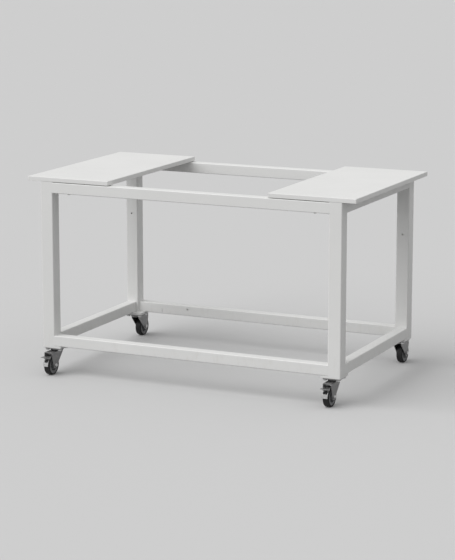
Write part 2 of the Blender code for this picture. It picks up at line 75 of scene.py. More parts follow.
# A rounded edge: how far in from a side and how far drawn back, as shares of the rounding
ROUND_EDGE = ((0.0, 1.0), (0.13, 0.5), (0.5, 0.13), (1.0, 0.0))


# Sizes and colours that a user would change


def length(name, description, default):
    return FloatProperty(
        name=name, description=description, default=default, min=0.0, precision=5, unit="LENGTH"
    )


def angle(name, description, default):
    return FloatProperty(name=name, description=description, default=math.radians(default), subtype="ANGLE")


def share(name, description, default):
    return FloatProperty(
        name=name, description=description, default=default, min=0.0, max=1.0, subtype="FACTOR"
    )


def strength(name, description, default):
    return FloatProperty(name=name, description=description, default=default, min=0.0)


def count(name, description, default):
    return IntProperty(name=name, description=description, default=default, min=1)


def seed(name, description, default):
    return IntProperty(name=name, description=description, default=default)


def colour(name, description, default):
    return FloatVectorProperty(
        name=name, description=description, default=default, size=3, min=0.0, max=1.0, subtype="COLOR"
    )


def vector(name, description, default):
    return FloatVectorProperty(name=name, description=description, default=default, subtype="XYZ")


def group(name, description, kind):
    return PointerProperty(name=name, description=description, type=kind)


class StandTubes(bpy.types.PropertyGroup):
    """Square tubes of the frame and their welds."""

    leg_corner: length("Leg corner", "Outer corner radius of the leg tube", 0.004)
    leg_wall: length("Leg wall", "Wall of the leg tube", 0.002)
    rail_corner: length("Rail corner", "Outer corner radius of the rail tube", 0.003)
    rail_wall: length("Rail wall", "Wall of the rail tube", 0.0015)
    corner_steps: count("Corner steps", "Facets in each rounded tube corner", 8)
    leg_hole: length("Leg hole", "Radius of the hole in the front wall of each rear leg", 0.003)
    leg_hole_height: length("Leg hole height", "Height of that hole over the foot of the leg", 0.400)
    rail_hole: length("Rail hole", "Radius of the hole in the rear bottom rail", 0.0035)
    rail_hole_place: length("Rail hole place", "Distance of that hole from the left leg", 0.216)
    rail_hole_rise: length("Rail hole rise", "Height of that hole over the middle of the rail", 0.006)
    slot_place: length("Slot place", "Distance of the slot from the left leg", 0.103)
    slot_width: length("Slot width", "Width of the slot in the rear bottom rail", 0.0015)
    slot_height: length("Slot height", "Height of that slot", 0.018)
    slot_drop: length("Slot drop", "How far the slot sits under the middle of the rail", 0.005)
    weld_radius: length("Weld radius", "Half the width of a weld bead", 0.0021)
    weld_pitch: length("Weld pitch", "Distance from ripple to ripple along a bead", 0.0026)
    weld_ripple: share("Weld ripple", "How much the ripples swell a bead", 0.14)
    weld_seed: seed("Weld seed", "Seed of the uneven swelling of the beads", 7)


class StandBoards(bpy.types.PropertyGroup):
    """Folded sheet boards and their screws."""

    sheet: length("Sheet", "Thickness of the board sheet", 0.0015)
    fold: length("Fold", "Outer radius of the upper folds and the corners", 0.0022)
    fold_low: length("Lower fold", "Outer radius of the folds between the edges and the lips", 0.0010)
    fold_steps: count("Fold steps", "Facets in each fold", 5)
    lip: length("Lip", "Width of the lip turned in under each edge", 0.034)
    mitre: length("Mitre", "Width of the open mitre where two lips meet", 0.0009)
    screw_radius: length("Screw radius", "Radius of the board screws", 0.003)
    screw_head: length("Screw head", "Radius of their pan heads", 0.006)
    recess: length("Recess", "Reach of the cross recess in a screw head", 0.0031)


class StandCasters(bpy.types.PropertyGroup):
    """Casters under the four corners."""

    pad_slope: length("Pad slope", "Width of the sloped lower edge of a pad", 0.002)
    pad_slope_height: length("Pad slope height", "Height of that slope", 0.0025)
    pad_corner: length("Pad corner", "Corner radius of a pad", 0.004)
    plate_corner: length("Plate corner", "Corner radius of a caster plate", 0.008)
    bolt_place: length("Bolt place", "Distance of the plate bolts from the plate's middle, both ways", 0.0255)
    bolt_flats: length("Bolt flats", "Width of a plate bolt head across its flats", 0.013)
    bolt_head: length("Bolt head", "Height of a plate bolt head", 0.0053)
    bolt_seed: seed("Bolt seed", "Seed of the way the plate bolts are turned", 3)
    race_radius: length("Race radius", "Radius of the swivel race", 0.023)
    race_neck: length("Race neck", "Radius of the upper ring of the race", 0.019)
    pin_radius: length("Pin radius", "Radius of the kingpin", 0.005)
    roof: length("Roof", "Thickness of the fork's roof", 0.003)
    seat_rise: length("Seat rise", "Height of the crown's disc over the roof", 0.0006)
    crown_radius: length("Crown radius", "Radius of that disc", 0.024)
    cheek: length("Cheek", "Thickness of the fork's cheeks", 0.0025)
    cheek_back: length("Cheek back", "Reach of the cheeks behind the swivel axis", 0.014)
    cheek_front: length("Cheek front", "Reach of the cheeks in front of the axle", 0.023)
    cheek_skirt: length("Cheek skirt", "Height of the cheeks' upright back edge", 0.006)
    cheek_front_skirt: length("Cheek front skirt", "Height of their upright front edge", 0.0135)
    cheek_boss: length("Cheek boss", "Radius of the cheeks round the axle", 0.013)
    fork_bend: length("Fork bend", "Outer bend radius between roof and cheeks", 0.0038)
    edge: length("Edge", "Rounding of pressed and cut edges", 0.0004)
    side_clear: length("Side clearance", "Room between the tyre and each cheek", 0.002)
    axle_radius: length("Axle radius", "Radius of the axle bolt", 0.004)
    axle_flats: length("Axle flats", "Width of its head and nut across the flats", 0.013)
    axle_head: length("Axle head", "Height of its head", 0.005)
    axle_nut: length("Axle nut", "Height of its nut", 0.0065)
    axle_end: length("Axle end", "How far the bolt stands past its nut", 0.002)


class StandWheels(bpy.types.PropertyGroup):
    """Wheels and brake pedals."""

    steps: count("Steps", "Facets round a wheel", 96)
    tyre_depth: length("Tyre depth", "Thickness of the tyre", 0.0055)
    shoulder: length("Shoulder", "Rounding of the tyre's shoulders", 0.0045)
    seam: length("Seam", "Height of the mould seam round the tread", 0.00012)
    hub_bore: length("Hub bore", "Radius of the bore in the hub", 0.0072)
    hub_boss: length("Hub boss", "Radius of the hub's boss", 0.011)
    hub_web: length("Hub web", "Thickness of the hub's web", 0.008)
    rim_depth: length("Rim depth", "Thickness of the hub's rim", 0.009)
    rim_width: length("Rim width", "Width of the hub's rim", 0.022)
    ribs: count("Ribs", "Ribs on each side of a hub", 8)
    rib: length("Rib", "Thickness of a rib", 0.0018)
    wheel_radius: length("Wheel radius", "Radius of the wheel that the pedal is shaped round", 0.0375)
    pedal_pin: length("Pedal pin", "Radius of the pedal's pin", 0.0025)
    pedal_pin_end: length("Pedal pin end", "How far the pin stands past each cheek", 0.001)
    pedal_side: length("Pedal side", "Room between pedal and cheeks", 0.001)
    pedal_web: length("Pedal web", "Width of the pedal's web and lower lip", 0.021)
    pedal_clear: length("Pedal clearance", "Room over the tyre at the back of the pedal", 0.003)
    pedal_clear_low: length("Low clearance", "Room in front of the tyre where the lower lip begins", 0.0055)
    pedal_sheet: length("Pedal sheet", "Thickness of the pedal", 0.0025)
    pedal_start: angle("Pedal start", "Where the web begins round the axle, from straight up", 20)
    pedal_throat: angle("Pedal throat", "Where the upper lip leaves the web", 50)
    pedal_end: angle("Pedal end", "Where the lower lip leaves the web", 70)
    pedal_boss: length("Pedal boss", "Height of the boss over the pin's axis", 0.004)
    pedal_lip: length("Pedal lip", "Reach of the upper lip past the tyre", 0.0185)
    pedal_lip_rise: length("Lip rise", "Rise of the upper lip from root to edge", 0.0022)
    pedal_toe: length("Pedal toe", "Length of the lower lip", 0.0145)
    pedal_toe_slope: angle("Toe slope", "How steep the lower lip falls", 76)
    pedal_edge: length("Pedal edge", "Rounding of the pedal's edges", 0.0005)
    window_width: length("Window width", "Width of the window that the upper lip leaves in the web", 0.0175)
    window_height: length("Window height", "Height of that window", 0.012)
    window_place: angle("Window place", "Middle of that window round the axle, from straight up", 62)


class StandFinishes(bpy.types.PropertyGroup):
    """Colours of the finishes."""

    paint: colour("Paint", "White powder coat", (0.78, 0.78, 0.77))
    paint_dust: colour("Paint dust", "Dust that settles low on the paint", (0.62, 0.60, 0.56))
    zinc: colour("Zinc", "Zinc plating", (0.28, 0.28, 0.284))
    zinc_dull: colour("Dull zinc", "Cloudy patches of the zinc plating", (0.215, 0.215, 0.219))
    steel: colour("Steel", "Bright plated steel of bolts, nuts and pins", (0.64, 0.64, 0.64))
    pedal_steel: colour("Pedal steel", "Plated steel of the pedals", (0.33, 0.33, 0.33))
    rubber: colour("Rubber", "Black tyre", (0.016, 0.016, 0.017))
    rubber_dust: colour("Rubber dust", "Grey scuffs on the tyre", (0.075, 0.073, 0.070))
    plastic: colour("Plastic", "Grey wheel core", (0.160, 0.162, 0.168))


class StandStage(bpy.types.PropertyGroup):
    """Floor, lamp and camera."""

    floor: colour("Floor", "Pale floor", (0.60, 0.60, 0.60))
    floor_bounce: colour("Floor bounce", "Floor as the object is lit by it", (0.22, 0.22, 0.22))
    backdrop: colour("Backdrop", "Pale surroundings", (0.62, 0.62, 0.62))
    sky: strength("Sky", "Strength of the soft light from all round", 0.60)
    key: strength("Key", "Strength of the main lamp", 1.95)
    key_spread: angle("Key spread", "How wide the main lamp looks from the object", 64)
    key_towards: vector("Key towards", "Way from the object to the main lamp", (-0.45, -0.57, 0.69))
    lens: FloatProperty(name="Lens", description="Focal length", default=133.69, subtype="DISTANCE_CAMERA")
    azimuth: angle("Azimuth", "Camera's turn to the right of the front", 24.97)
    elevation: angle("Elevation", "Camera's height over the level", 11.29)
    distance: length("Distance", "Camera's distance from its target", 7.8321)
    target: vector("Target", "Point that the camera looks at", (-0.0067, 0.00925, 0.3399))


class StandLooks(bpy.types.PropertyGroup):
    """All sizes and colours of the looks."""

    tubes: group("Tubes", "Square tubes of the frame and their welds", StandTubes)
    boards: group("Boards", "Folded sheet boards and their screws", StandBoards)
    casters: group("Casters", "Casters under the four corners", StandCasters)
    wheels: group("Wheels", "Wheels and brake pedals", StandWheels)
    finishes: group("Finishes", "Colours of the finishes", StandFinishes)
    stage: group("Stage", "Floor, lamp and camera", StandStage)


# Shapes


def closed(bm):
    bmesh.ops.recalc_face_normals(bm, faces=bm.faces)
    return bm


def loops_shape(loops, ring=False):
    """A closed shape through equal loops of points, capped at both ends or joined into a ring."""
    bm = bmesh.new()
    rows = [[bm.verts.new(point) for point in loop] for loop in loops]
    pairs = list(zip(rows, rows[1:]))
    if ring:
        pairs.append((rows[-1], rows[0]))
    for low, high in pairs:
        for i in range(len(low)):
            j = (i + 1) % len(low)
            bm.faces.new((low[i], low[j], high[j], high[i]))
    if not ring:
        bm.faces.new(rows[0])
        bm.faces.new(rows[-1])
    return closed(bm)


def quarter_turns(steps):
    """Angles from nothing to a quarter turn."""
    return [step / steps * math.pi / 2 for step in range(steps + 1)]


def rounded_rectangle(width, depth, corner, height, steps):
    """A loop of points round a rectangle with round corners."""
    loop = []
    for quarter in range(4):
        start = quarter * math.pi / 2
        middle = start + math.pi / 4
        for turn in quarter_turns(steps):
            x = math.copysign(width / 2 - corner, math.cos(middle)) + corner * math.cos(start + turn)
            y = math.copysign(depth / 2 - corner, math.sin(middle)) + corner * math.sin(start + turn)
            loop.append((x, y, height))
    return loop


def filleted(outline, steps):
    """An outline of (a, b, radius) corners with each corner rounded."""
    points = []
    for i, (a, b, radius) in enumerate(outline):
        here = Vector((a, b))
        if radius <= 0:
            points.append((a, b))
            continue
        before = (Vector(outline[i - 1][:2]) - here).normalized()
        after = (Vector(outline[(i + 1) % len(outline)][:2]) - here).normalized()
        half = before.angle(after) / 2
        reach = radius / math.tan(half)
        centre = here + (before + after).normalized() * (radius / math.sin(half))
        first = here + before * reach - centre
        last = here + after * reach - centre
        start = math.atan2(first.y, first.x)
        sweep = (math.atan2(last.y, last.x) - start + math.pi) % (2 * math.pi) - math.pi
        for step in range(steps + 1):
            turn = start + sweep * step / steps
            points.append((centre.x + radius * math.cos(turn), centre.y + radius * math.sin(turn)))
    return points


def along(axis, bm):
    """Turns a shape that was made along Z to lie along X or Y."""
    if axis == "X":
        bm.transform(Matrix.Rotation(math.pi / 2, 4, "Y"))
    if axis == "Y":
        bm.transform(Matrix.Rotation(-math.pi / 2, 4, "X"))
    return bm


def moved(bm, place):
    bm.transform(Matrix.Translation(place))
    return bm


def box(size, place=(0, 0, 0), turn=0.0):
    bm = bmesh.new()
    bmesh.ops.create_cube(bm, size=1, matrix=Matrix.Diagonal((*size, 1)))
    bm.transform(Matrix.Translation(place) @ Matrix.Rotation(turn, 4, "Z"))
    return bm


def rod(axis, radius, reach, place=(0, 0, 0), steps=32):
    bm = bmesh.new()
    bmesh.ops.create_cone(bm, cap_ends=True, segments=steps, radius1=radius, radius2=radius, depth=reach)
    return moved(along(axis, bm), place)


def prism(outline, low, high, axis="X"):
    """An outline in the YZ plane made solid along X, or one in the XZ plane made solid along Y."""
    if axis == "X":
        return loops_shape([[(x, a, b) for a, b in outline] for x in (low, high)])
    return loops_shape([[(a, y, b) for a, b in outline] for y in (low, high)])


def inset(outline, distance):
    """An outline drawn in by a small distance. It may run either way round."""
    points = [Vector(point) for point in outline]
    area = sum(a.x * b.y - b.x * a.y for a, b in zip(points, points[1:] + points[:1]))
    way = math.copysign(1.0, area)
    least_lean = 0.5
    drawn = []
    for i, here in enumerate(points):
        before = (here - points[i - 1]).normalized()
        after = (points[(i + 1) % len(points)] - here).normalized()
        normal = Vector((-before.y - after.y, before.x + after.x)) * way
        normal.normalize()
        lean = max(least_lean, normal.dot(Vector((-after.y, after.x)) * way))
        drawn.append(tuple(here + normal * (distance / lean)))
    return drawn


def pressed(outline, half, edge):
    """An outline in the YZ plane made solid to both sides along X, with its two side edges rounded."""
    rings = [(-half + edge * inwards, edge * draw) for inwards, draw in ROUND_EDGE]
    rings += [(-x, draw) for x, draw in reversed(rings)]
    return loops_shape([[(x, a, b) for a, b in inset(outline, draw)] for x, draw in rings])


def turned(profile, steps, axis="Z", fillet=0):
    """A closed profile of (radius, height) points turned round an axis.

    With a number of fillet steps, the points are (radius, height, rounding).
    """
    if fillet:
        profile = filleted(profile, fillet)
    bm = bmesh.new()
    rows = []
    for radius, height in profile:
        if radius == 0:
            rows.append([bm.verts.new((0, 0, height))])
            continue
        turns = [2 * math.pi * step / steps for step in range(steps)]
        rows.append([bm.verts.new((radius * math.cos(t), radius * math.sin(t), height)) for t in turns])
    for low, high in zip(rows, rows[1:] + rows[:1]):
        if len(low) == 1 and len(high) == 1:
            continue
        for i in range(steps):
            j = (i + 1) % steps
            corners = [low[i % len(low)], low[j % len(low)], high[j % len(high)], high[i % len(high)]]
            bm.faces.new(list(dict.fromkeys(corners)))
    return along(axis, closed(bm))


def tube(axis, reach, side, wall, corner, steps):
    """A length of square tube, open at both ends, centred on the origin."""
    inside = side - 2 * wall
    inner_corner = max(corner - wall, wall / 4)
    half = reach / 2
    loops = [
        rounded_rectangle(side, side, corner, -half, steps),
        rounded_rectangle(side, side, corner, half, steps),
        rounded_rectangle(inside, inside, inner_corner, half, steps),
        rounded_rectangle(inside, inside, inner_corner, -half, steps),
    ]
    return along(axis, loops_shape(loops, ring=True))


def hexagon_head(flats, root, tip, sunk, face, slope, steps):
    """A hexagonal bar along Z from root to tip, and the Boolean step that turns its corners off at the tip.

    It starts as far behind the root as it is sunk. face is the radius of the tip's flat face, as a share of
    the width across the flats, and slope is how far the corners fall back for each measure outwards.
    """
    way = math.copysign(1.0, tip - root)
    corner = flats / math.sqrt(3)
    low, high = sorted((root - way * sunk, tip + way * PAST))
    bar = moved(rod("Z", corner, high - low, steps=6), (0, 0, (low + high) / 2))
    out = flats * 0.65
    flat = flats * face
    back = root - way * PAST
    profile = [(0, back), (out, back), (out, tip - way * (out - flat) * slope), (flat, tip), (0, tip)]
    return bar, ("INTERSECT", turned(profile, steps))


def mesh_of(name, bm):
    mesh = bpy.data.meshes.new(name)
    bm.to_mesh(mesh)
    bm.free()
    return mesh


def shape_of(mesh):
    bm = bmesh.new()
    bm.from_mesh(mesh)
    bpy.data.meshes.remove(mesh)
    return bm


def joined(shapes):
    """Several shapes in one."""
    whole = shapes[0]
    for shape in shapes[1:]:
        part = mesh_of("part", shape)
        whole.from_mesh(part)
        bpy.data.meshes.remove(part)
    return whole


def shown(name, mesh):
    """A new object at the origin."""
    thing = bpy.data.objects.new(name, mesh)
    bpy.context.scene.collection.objects.link(thing)
    return thing


def evaluated(thing, name):
    """The mesh of an object after its modifiers."""
    bpy.context.view_layer.update()
    graph = bpy.context.evaluated_depsgraph_get()
    mesh = bpy.data.meshes.new_from_object(thing.evaluated_get(graph))
    mesh.name = name
    return mesh


def cut(*shapes):
    """Boolean steps that take shapes away."""
    return [("DIFFERENCE", shape) for shape in shapes]


def worked(name, base, steps=(), edge=0.0):
    """The mesh of a shape after Boolean steps, each (operation, other shape), with its edges rounded."""
    body = shown(name + "_blank", mesh_of(name + "_blank", base))
    tools = []
    for operation, shape in steps:
        tool = shown(name + "_tool", mesh_of(name + "_tool", shape))
        tools.append(tool)
        change = body.modifiers.new(operation.title(), "BOOLEAN")
        change.operation = operation
        change.solver = "EXACT"
        change.object = tool
    if edge > 0:
        bevel = body.modifiers.new("Edges", "BEVEL")
        bevel.width = edge
        bevel.segments = BEVEL_STEPS
        bevel.limit_method = "ANGLE"
        bevel.angle_limit = BEVEL_ANGLE
        bevel.use_clamp_overlap = False
        bevel.miter_outer = "MITER_ARC"
    mesh = evaluated(body, name)
    for thing in (body, *tools):
        bpy.data.objects.remove(thing, do_unlink=True)
    return mesh


def smooth(mesh):
    """Smooth shading that keeps flat faces flat."""
    mesh.shade_smooth()
    mesh.set_sharp_from_angle(angle=SMOOTH_ANGLE)
    thing = shown(mesh.name + "_smooth", mesh)
    weighted = thing.modifiers.new("Normals", "WEIGHTED_NORMAL")
    weighted.keep_sharp = True
    weighted.weight = FACE_WEIGHT
    result = evaluated(thing, mesh.name)
    bpy.data.objects.remove(thing, do_unlink=True)
    return result


def piece(name, mesh, material, body, nodes=(), place=None):
    """One finished piece: its place goes into its mesh, and it rides on a body of the frame."""
    mesh = mesh.copy()
    mesh.name = name
    if place is not None:
        mesh.transform(place)
    mesh.materials.clear()
    mesh.materials.append(material)
    thing = shown(name, mesh)
    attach(thing, body)
    if nodes:
        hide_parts(*nodes)


# Nodes


def feed(tree, socket, value):
    """Links a socket to another node's output, or sets its value. A colour is set as fully opaque."""
    if isinstance(value, bpy.types.NodeSocket):
        tree.links.new(value, socket)
    elif socket.type == "RGBA":
        socket.default_value = (*value, 1.0)
    else:
        socket.default_value = value


def add(tree, kind, settings=None, **inputs):
    """A new node with its settings made, and its inputs set or linked by name."""
    node = tree.nodes.new(kind)
    for name, value in (settings or {}).items():
        setattr(node, name, value)
    for name, value in inputs.items():
        feed(tree, node.inputs[name], value)
    return node


def maths(tree, operation, *values):
    """The result of a sum on numbers or other nodes' outputs."""
    node = add(tree, "ShaderNodeMath", {"operation": operation})
    for socket, value in zip(node.inputs, values):
        feed(tree, socket, value)
    return node.outputs[0]


# Geometry Nodes for what repeats or follows a seam


def new_tree(name, kinds):
    """A tree from geometry to geometry with more inputs by name and kind, and the sockets of its inputs."""
    tree = bpy.data.node_groups.new(name, "GeometryNodeTree")
    for given, kind in {"Geometry": "Geometry", **kinds}.items():
        tree.interface.new_socket(given, in_out="INPUT", socket_type="NodeSocket" + kind)
    tree.interface.new_socket("Geometry", in_out="OUTPUT", socket_type="NodeSocketGeometry")
    return tree, tree.nodes.new("NodeGroupInput").outputs


def end_tree(tree, geometry, material):
    """Ends a tree in real geometry with its finish."""
    real = add(tree, "GeometryNodeRealizeInstances", Geometry=geometry)
    painted = add(tree, "GeometryNodeSetMaterial", Geometry=real.outputs["Geometry"], Material=material)
    add(tree, "NodeGroupOutput", Geometry=painted.outputs["Geometry"])
    return tree


def grown(name, base, tree, values):
    """The mesh that a tree makes from a base mesh. Its inputs are set by their sockets' identifiers."""
    carrier = shown(name + "_carrier", base)
    modifier = carrier.modifiers.new(tree.name, "NODES")
    modifier.node_group = tree
    for socket in tree.interface.items_tree:
        if socket.in_out == "INPUT" and socket.name in values:
            modifier[socket.identifier] = values[socket.name]
    mesh = evaluated(carrier, name)
    carrier.modifiers.clear()
    bpy.data.objects.remove(carrier, do_unlink=True)
    return mesh


def set_out_tree():
    """A tree that sets a shape at each point, turned by the point's own angles and a loose one about Z."""
    name = "Stand shape at points"
    known = bpy.data.node_groups.get(name)
    if known:
        return known
    kinds = {"Shape": "Object", "Finish": "Material", "Loose turn": "Float", "Seed": "Int"}
    tree, given = new_tree(name, kinds)
    shape = add(tree, "GeometryNodeObjectInfo", Object=given["Shape"])
    turn = add(tree, "GeometryNodeInputNamedAttribute", {"data_type": "FLOAT_VECTOR"}, Name="turn")
    loose = add(tree, "FunctionNodeRandomValue", {"data_type": "FLOAT"}, Seed=given["Seed"])
    least, most = loose.inputs[2:4]  # its sockets for plain numbers
    feed(tree, least, 0.0)
    feed(tree, most, given["Loose turn"])
    about_z = add(tree, "ShaderNodeCombineXYZ", Z=loose.outputs[1])
    both = add(tree, "ShaderNodeVectorMath", {"operation": "ADD"})
    feed(tree, both.inputs[0], turn.outputs["Attribute"])
    feed(tree, both.inputs[1], about_z.outputs["Vector"])
    rotation = add(tree, "FunctionNodeEulerToRotation", Euler=both.outputs["Vector"])
    copies = add(
        tree,
        "GeometryNodeInstanceOnPoints",
        Points=given["Geometry"],
        Instance=shape.outputs["Geometry"],
        Rotation=rotation.outputs["Rotation"],
    )
    return end_tree(tree, copies.outputs["Instances"], given["Finish"])


def set_out(name, shape_mesh, places, material, loose_turn=0.0, draw=0):
    """The mesh of a shape set at places, each a point with its angles."""
    shape = shown(name + "_shape", shape_mesh)
    points = bpy.data.meshes.new(name + "_points")
    points.from_pydata([place for place, _ in places], [], [])
    turns = points.attributes.new("turn", "FLOAT_VECTOR", "POINT")
    for item, (_, turn) in zip(turns.data, places):
        item.vector = turn
    values = {"Shape": shape, "Finish": material, "Loose turn": loose_turn, "Seed": draw}
    mesh = grown(name, points, set_out_tree(), values)
    bpy.data.objects.remove(shape, do_unlink=True)
    return mesh


def bead_tree():
    """A tree that lays a rippled weld bead along the edges of a mesh."""
    stations_per_ripple = 4.0
    grain = 160.0  # how fine the uneven swelling is
    least_swell = 0.9
    facets = 10
    kinds = {"Radius": "Float", "Pitch": "Float", "Ripple": "Float", "Seed": "Float", "Finish": "Material"}
    tree, given = new_tree("Stand weld bead", kinds)
    seams = add(tree, "GeometryNodeMeshToCurve", Mesh=given["Geometry"]).outputs["Curve"]
    spacing = maths(tree, "DIVIDE", given["Pitch"], stations_per_ripple)
    stations = add(tree, "GeometryNodeResampleCurve", {"mode": "LENGTH"}, Curve=seams, Length=spacing)
    run = add(tree, "GeometryNodeSplineParameter").outputs["Length"]
    waves = maths(tree, "MULTIPLY", maths(tree, "DIVIDE", run, given["Pitch"]), 2 * math.pi)
    uneven = add(tree, "ShaderNodeTexNoise", {"noise_dimensions": "4D"}, W=given["Seed"], Scale=grain)
    mixed = maths(tree, "ADD", maths(tree, "SINE", waves), uneven.outputs["Fac"])
    swell = maths(tree, "MULTIPLY_ADD", mixed, given["Ripple"], least_swell)
    profile = add(tree, "GeometryNodeCurvePrimitiveCircle", Resolution=facets, Radius=given["Radius"])
    ends = {"Profile Curve": profile.outputs["Curve"], "Fill Caps": True}
    bead = add(tree, "GeometryNodeCurveToMesh", Curve=stations.outputs["Curve"], Scale=swell, **ends)
    soft = add(tree, "GeometryNodeSetShadeSmooth", Geometry=bead.outputs["Mesh"])
    return end_tree(tree, soft.outputs["Geometry"], given["Finish"])


# Finishes


class Coating:
    """A new finish, with its patterns on the piece's own coordinates."""

    def __init__(self, name):
        self.material = bpy.data.materials.new(name)
        self.material.use_nodes = True
        self.tree = self.material.node_tree
        self.place = self.tree.nodes.new("ShaderNodeTexCoord").outputs["Object"]

    def noise(self, scale, detail=2.0, stretch=None, roughness=0.5):
        """Noise, drawn out along an axis where stretch says so."""
        place = self.place
        if stretch:
            place = add(self.tree, "ShaderNodeMapping", Vector=place, Scale=stretch).outputs["Vector"]
        inputs = {"Vector": place, "Scale": scale, "Detail": detail, "Roughness": roughness}
        return add(self.tree, "ShaderNodeTexNoise", **inputs).outputs["Fac"]

    def spread(self, value, span, to=(0.0, 1.0)):
        """Maps a span of a value to another, held at its ends."""
        ends = {"From Min": span[0], "From Max": span[1], "To Min": to[0], "To Max": to[1]}
        return add(self.tree, "ShaderNodeMapRange", Value=value, **ends).outputs["Result"]

    def times(self, first, second):
        return maths(self.tree, "MULTIPLY", first, second)

    def blend(self, amount, first, second):
        """A mix of two colours."""
        node = add(self.tree, "ShaderNodeMix", {"data_type": "RGBA"}, Factor=amount)
        for socket, tint in zip(node.inputs[6:8], (first, second)):  # its sockets for colours
            feed(self.tree, socket, tint)
        return node.outputs[2]

    def bump(self, height, strength, distance, before=None):
        inputs = {"Height": height, "Strength": strength, "Distance": distance}
        if before:
            inputs["Normal"] = before
        return add(self.tree, "ShaderNodeBump", **inputs).outputs["Normal"]

    def shade(self, inputs):
        """Sets or links the shader's inputs, and gives the finished material."""
        shader = self.tree.nodes["Principled BSDF"]
        for name, value in inputs.items():
            feed(self.tree, shader.inputs[name], value)
        return self.material


def scaled_colour(base, factor):
    return tuple(min(1.0, channel * factor) for channel in base)


def powder_coat(coat, finishes):
    """White powder coat: a fine orange peel, a little cloudy, with dust and rubs near the floor."""
    cloud = coat.spread(coat.noise(scale=5.0, detail=4.0), (0.3, 0.7))
    body = coat.blend(cloud, scaled_colour(finishes.paint, 0.978), scaled_colour(finishes.paint, 1.012))
    height = add(coat.tree, "ShaderNodeSeparateXYZ", Vector=coat.place).outputs["Z"]
    low = coat.spread(height, (0.09, 0.30), (1.0, 0.0))
    smears = coat.noise(scale=55.0, detail=6.0, stretch=(1.0, 1.0, 0.35), roughness=0.62)
    dust = coat.times(coat.times(low, coat.spread(smears, (0.52, 0.75))), 0.28)
    gloss = coat.noise(scale=38.0, detail=3.0)
    peel = coat.bump(coat.noise(scale=520.0), strength=0.16, distance=0.00025)
    grain = coat.noise(scale=2100.0)
    looks = {
        "Base Color": coat.blend(dust, body, finishes.paint_dust),
        "Roughness": coat.spread(gloss, (0.25, 0.75), (0.40, 0.52)),
        "Normal": coat.bump(grain, strength=0.10, distance=0.0001, before=peel),
        "Specular IOR Level": 0.45,
    }
    return coat.shade(looks)


def zinc_plate(coat, finishes):
    """Zinc plating on pressed sheet: cloudy patches, rolling lines and small scratches."""
    patches = coat.spread(coat.noise(scale=95.0, detail=5.0, roughness=0.6), (0.32, 0.70))
    tint = coat.spread(coat.noise(scale=34.0), (0.35, 0.65))
    warm = tuple(channel * warmth for channel, warmth in zip(finishes.zinc, (1.02, 1.0, 0.955)))
    bright = coat.blend(tint, finishes.zinc, warm)
    lines = coat.noise(scale=60.0, detail=5.0, stretch=(30.0, 30.0, 1.2))
    scratches = coat.spread(coat.noise(scale=42.0, detail=3.0, stretch=(1.0, 22.0, 9.0)), (0.62, 0.70))
    rolled = coat.bump(lines, strength=0.05, distance=0.0002)
    looks = {
        "Base Color": coat.blend(patches, finishes.zinc_dull, bright),
        "Roughness": coat.spread(coat.noise(scale=150.0, detail=4.0), (0.3, 0.7), (0.30, 0.46)),
        "Normal": coat.bump(scratches, strength=0.12, distance=0.0001, before=rolled),
        "Metallic": 1.0,
    }
    return coat.shade(looks)


def plated_steel(coat, base, roughness):
    """Plated steel with fine tool marks and finger stains, rougher where it is stained."""
    stain = coat.spread(coat.noise(scale=120.0, detail=5.0, roughness=0.6), (0.40, 0.75))
    marks = coat.noise(scale=180.0, detail=4.0, stretch=(1.0, 14.0, 14.0))
    looks = {
        "Base Color": coat.blend(stain, base, scaled_colour(base, 0.78)),
        "Roughness": coat.spread(stain, (0.0, 1.0), roughness),
        "Normal": coat.bump(marks, strength=0.06, distance=0.0001),
        "Metallic": 1.0,
    }
    return coat.shade(looks)


def bright_steel(coat, finishes):
    """Bright plating of bolts, nuts and pins."""
    return plated_steel(coat, finishes.steel, (0.22, 0.38))


def pedal_steel(coat, finishes):
    """Duller plating of the pressed pedals."""
    return plated_steel(coat, finishes.pedal_steel, (0.30, 0.44))


def tyre_rubber(coat, finishes):
    """Black tyre with a fine moulded grain and grey scuffs."""
    rubbed = coat.noise(scale=130.0, detail=6.0, stretch=(0.5, 1.0, 1.0), roughness=0.65)
    scuff = coat.spread(rubbed, (0.52, 0.80))
    film = coat.spread(coat.noise(scale=24.0, detail=3.0), (0.35, 0.75), (0.0, 0.45))
    worn = coat.times(maths(coat.tree, "MAXIMUM", scuff, film), 0.35)
    looks = {
        "Base Color": coat.blend(worn, finishes.rubber, finishes.rubber_dust),
        "Roughness": coat.spread(scuff, (0.0, 1.0), (0.56, 0.78)),
        "Normal": coat.bump(coat.noise(scale=1500.0, detail=3.0), strength=0.25, distance=0.0002),
        "Specular IOR Level": 0.28,
    }
    return coat.shade(looks)


def core_plastic(coat, finishes):
    """Dark grey moulded plastic of the wheel cores."""
    flow = coat.spread(coat.noise(scale=70.0, detail=4.0), (0.3, 0.7))
    looks = {
        "Base Color": coat.blend(flow, finishes.plastic, scaled_colour(finishes.plastic, 1.25)),
        "Roughness": coat.spread(flow, (0.0, 1.0), (0.42, 0.56)),
        "Normal": coat.bump(coat.noise(scale=2400.0), strength=0.12, distance=0.0001),
    }
    return coat.shade(looks)


FINISHES = {
    "white_powder_coat": powder_coat,
    "zinc_plated_sheet": zinc_plate,
    "bright_plated_steel": bright_steel,
    "plated_pedal_steel": pedal_steel,
    "black_tyre_rubber": tyre_rubber,
    "grey_core_plastic": core_plastic,
}


def finish(context, name):
    """A finish by name, made when it is first asked for."""
    made = bpy.data.materials.get(name)
    return made or FINISHES[name](Coating(name), context.scene.stand_looks.finishes)


# Frame and boards


def middle_of(node):
    low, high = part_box(node)
    return (low + high) / 2


def size_of(node):
    low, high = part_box(node)
    return high - low


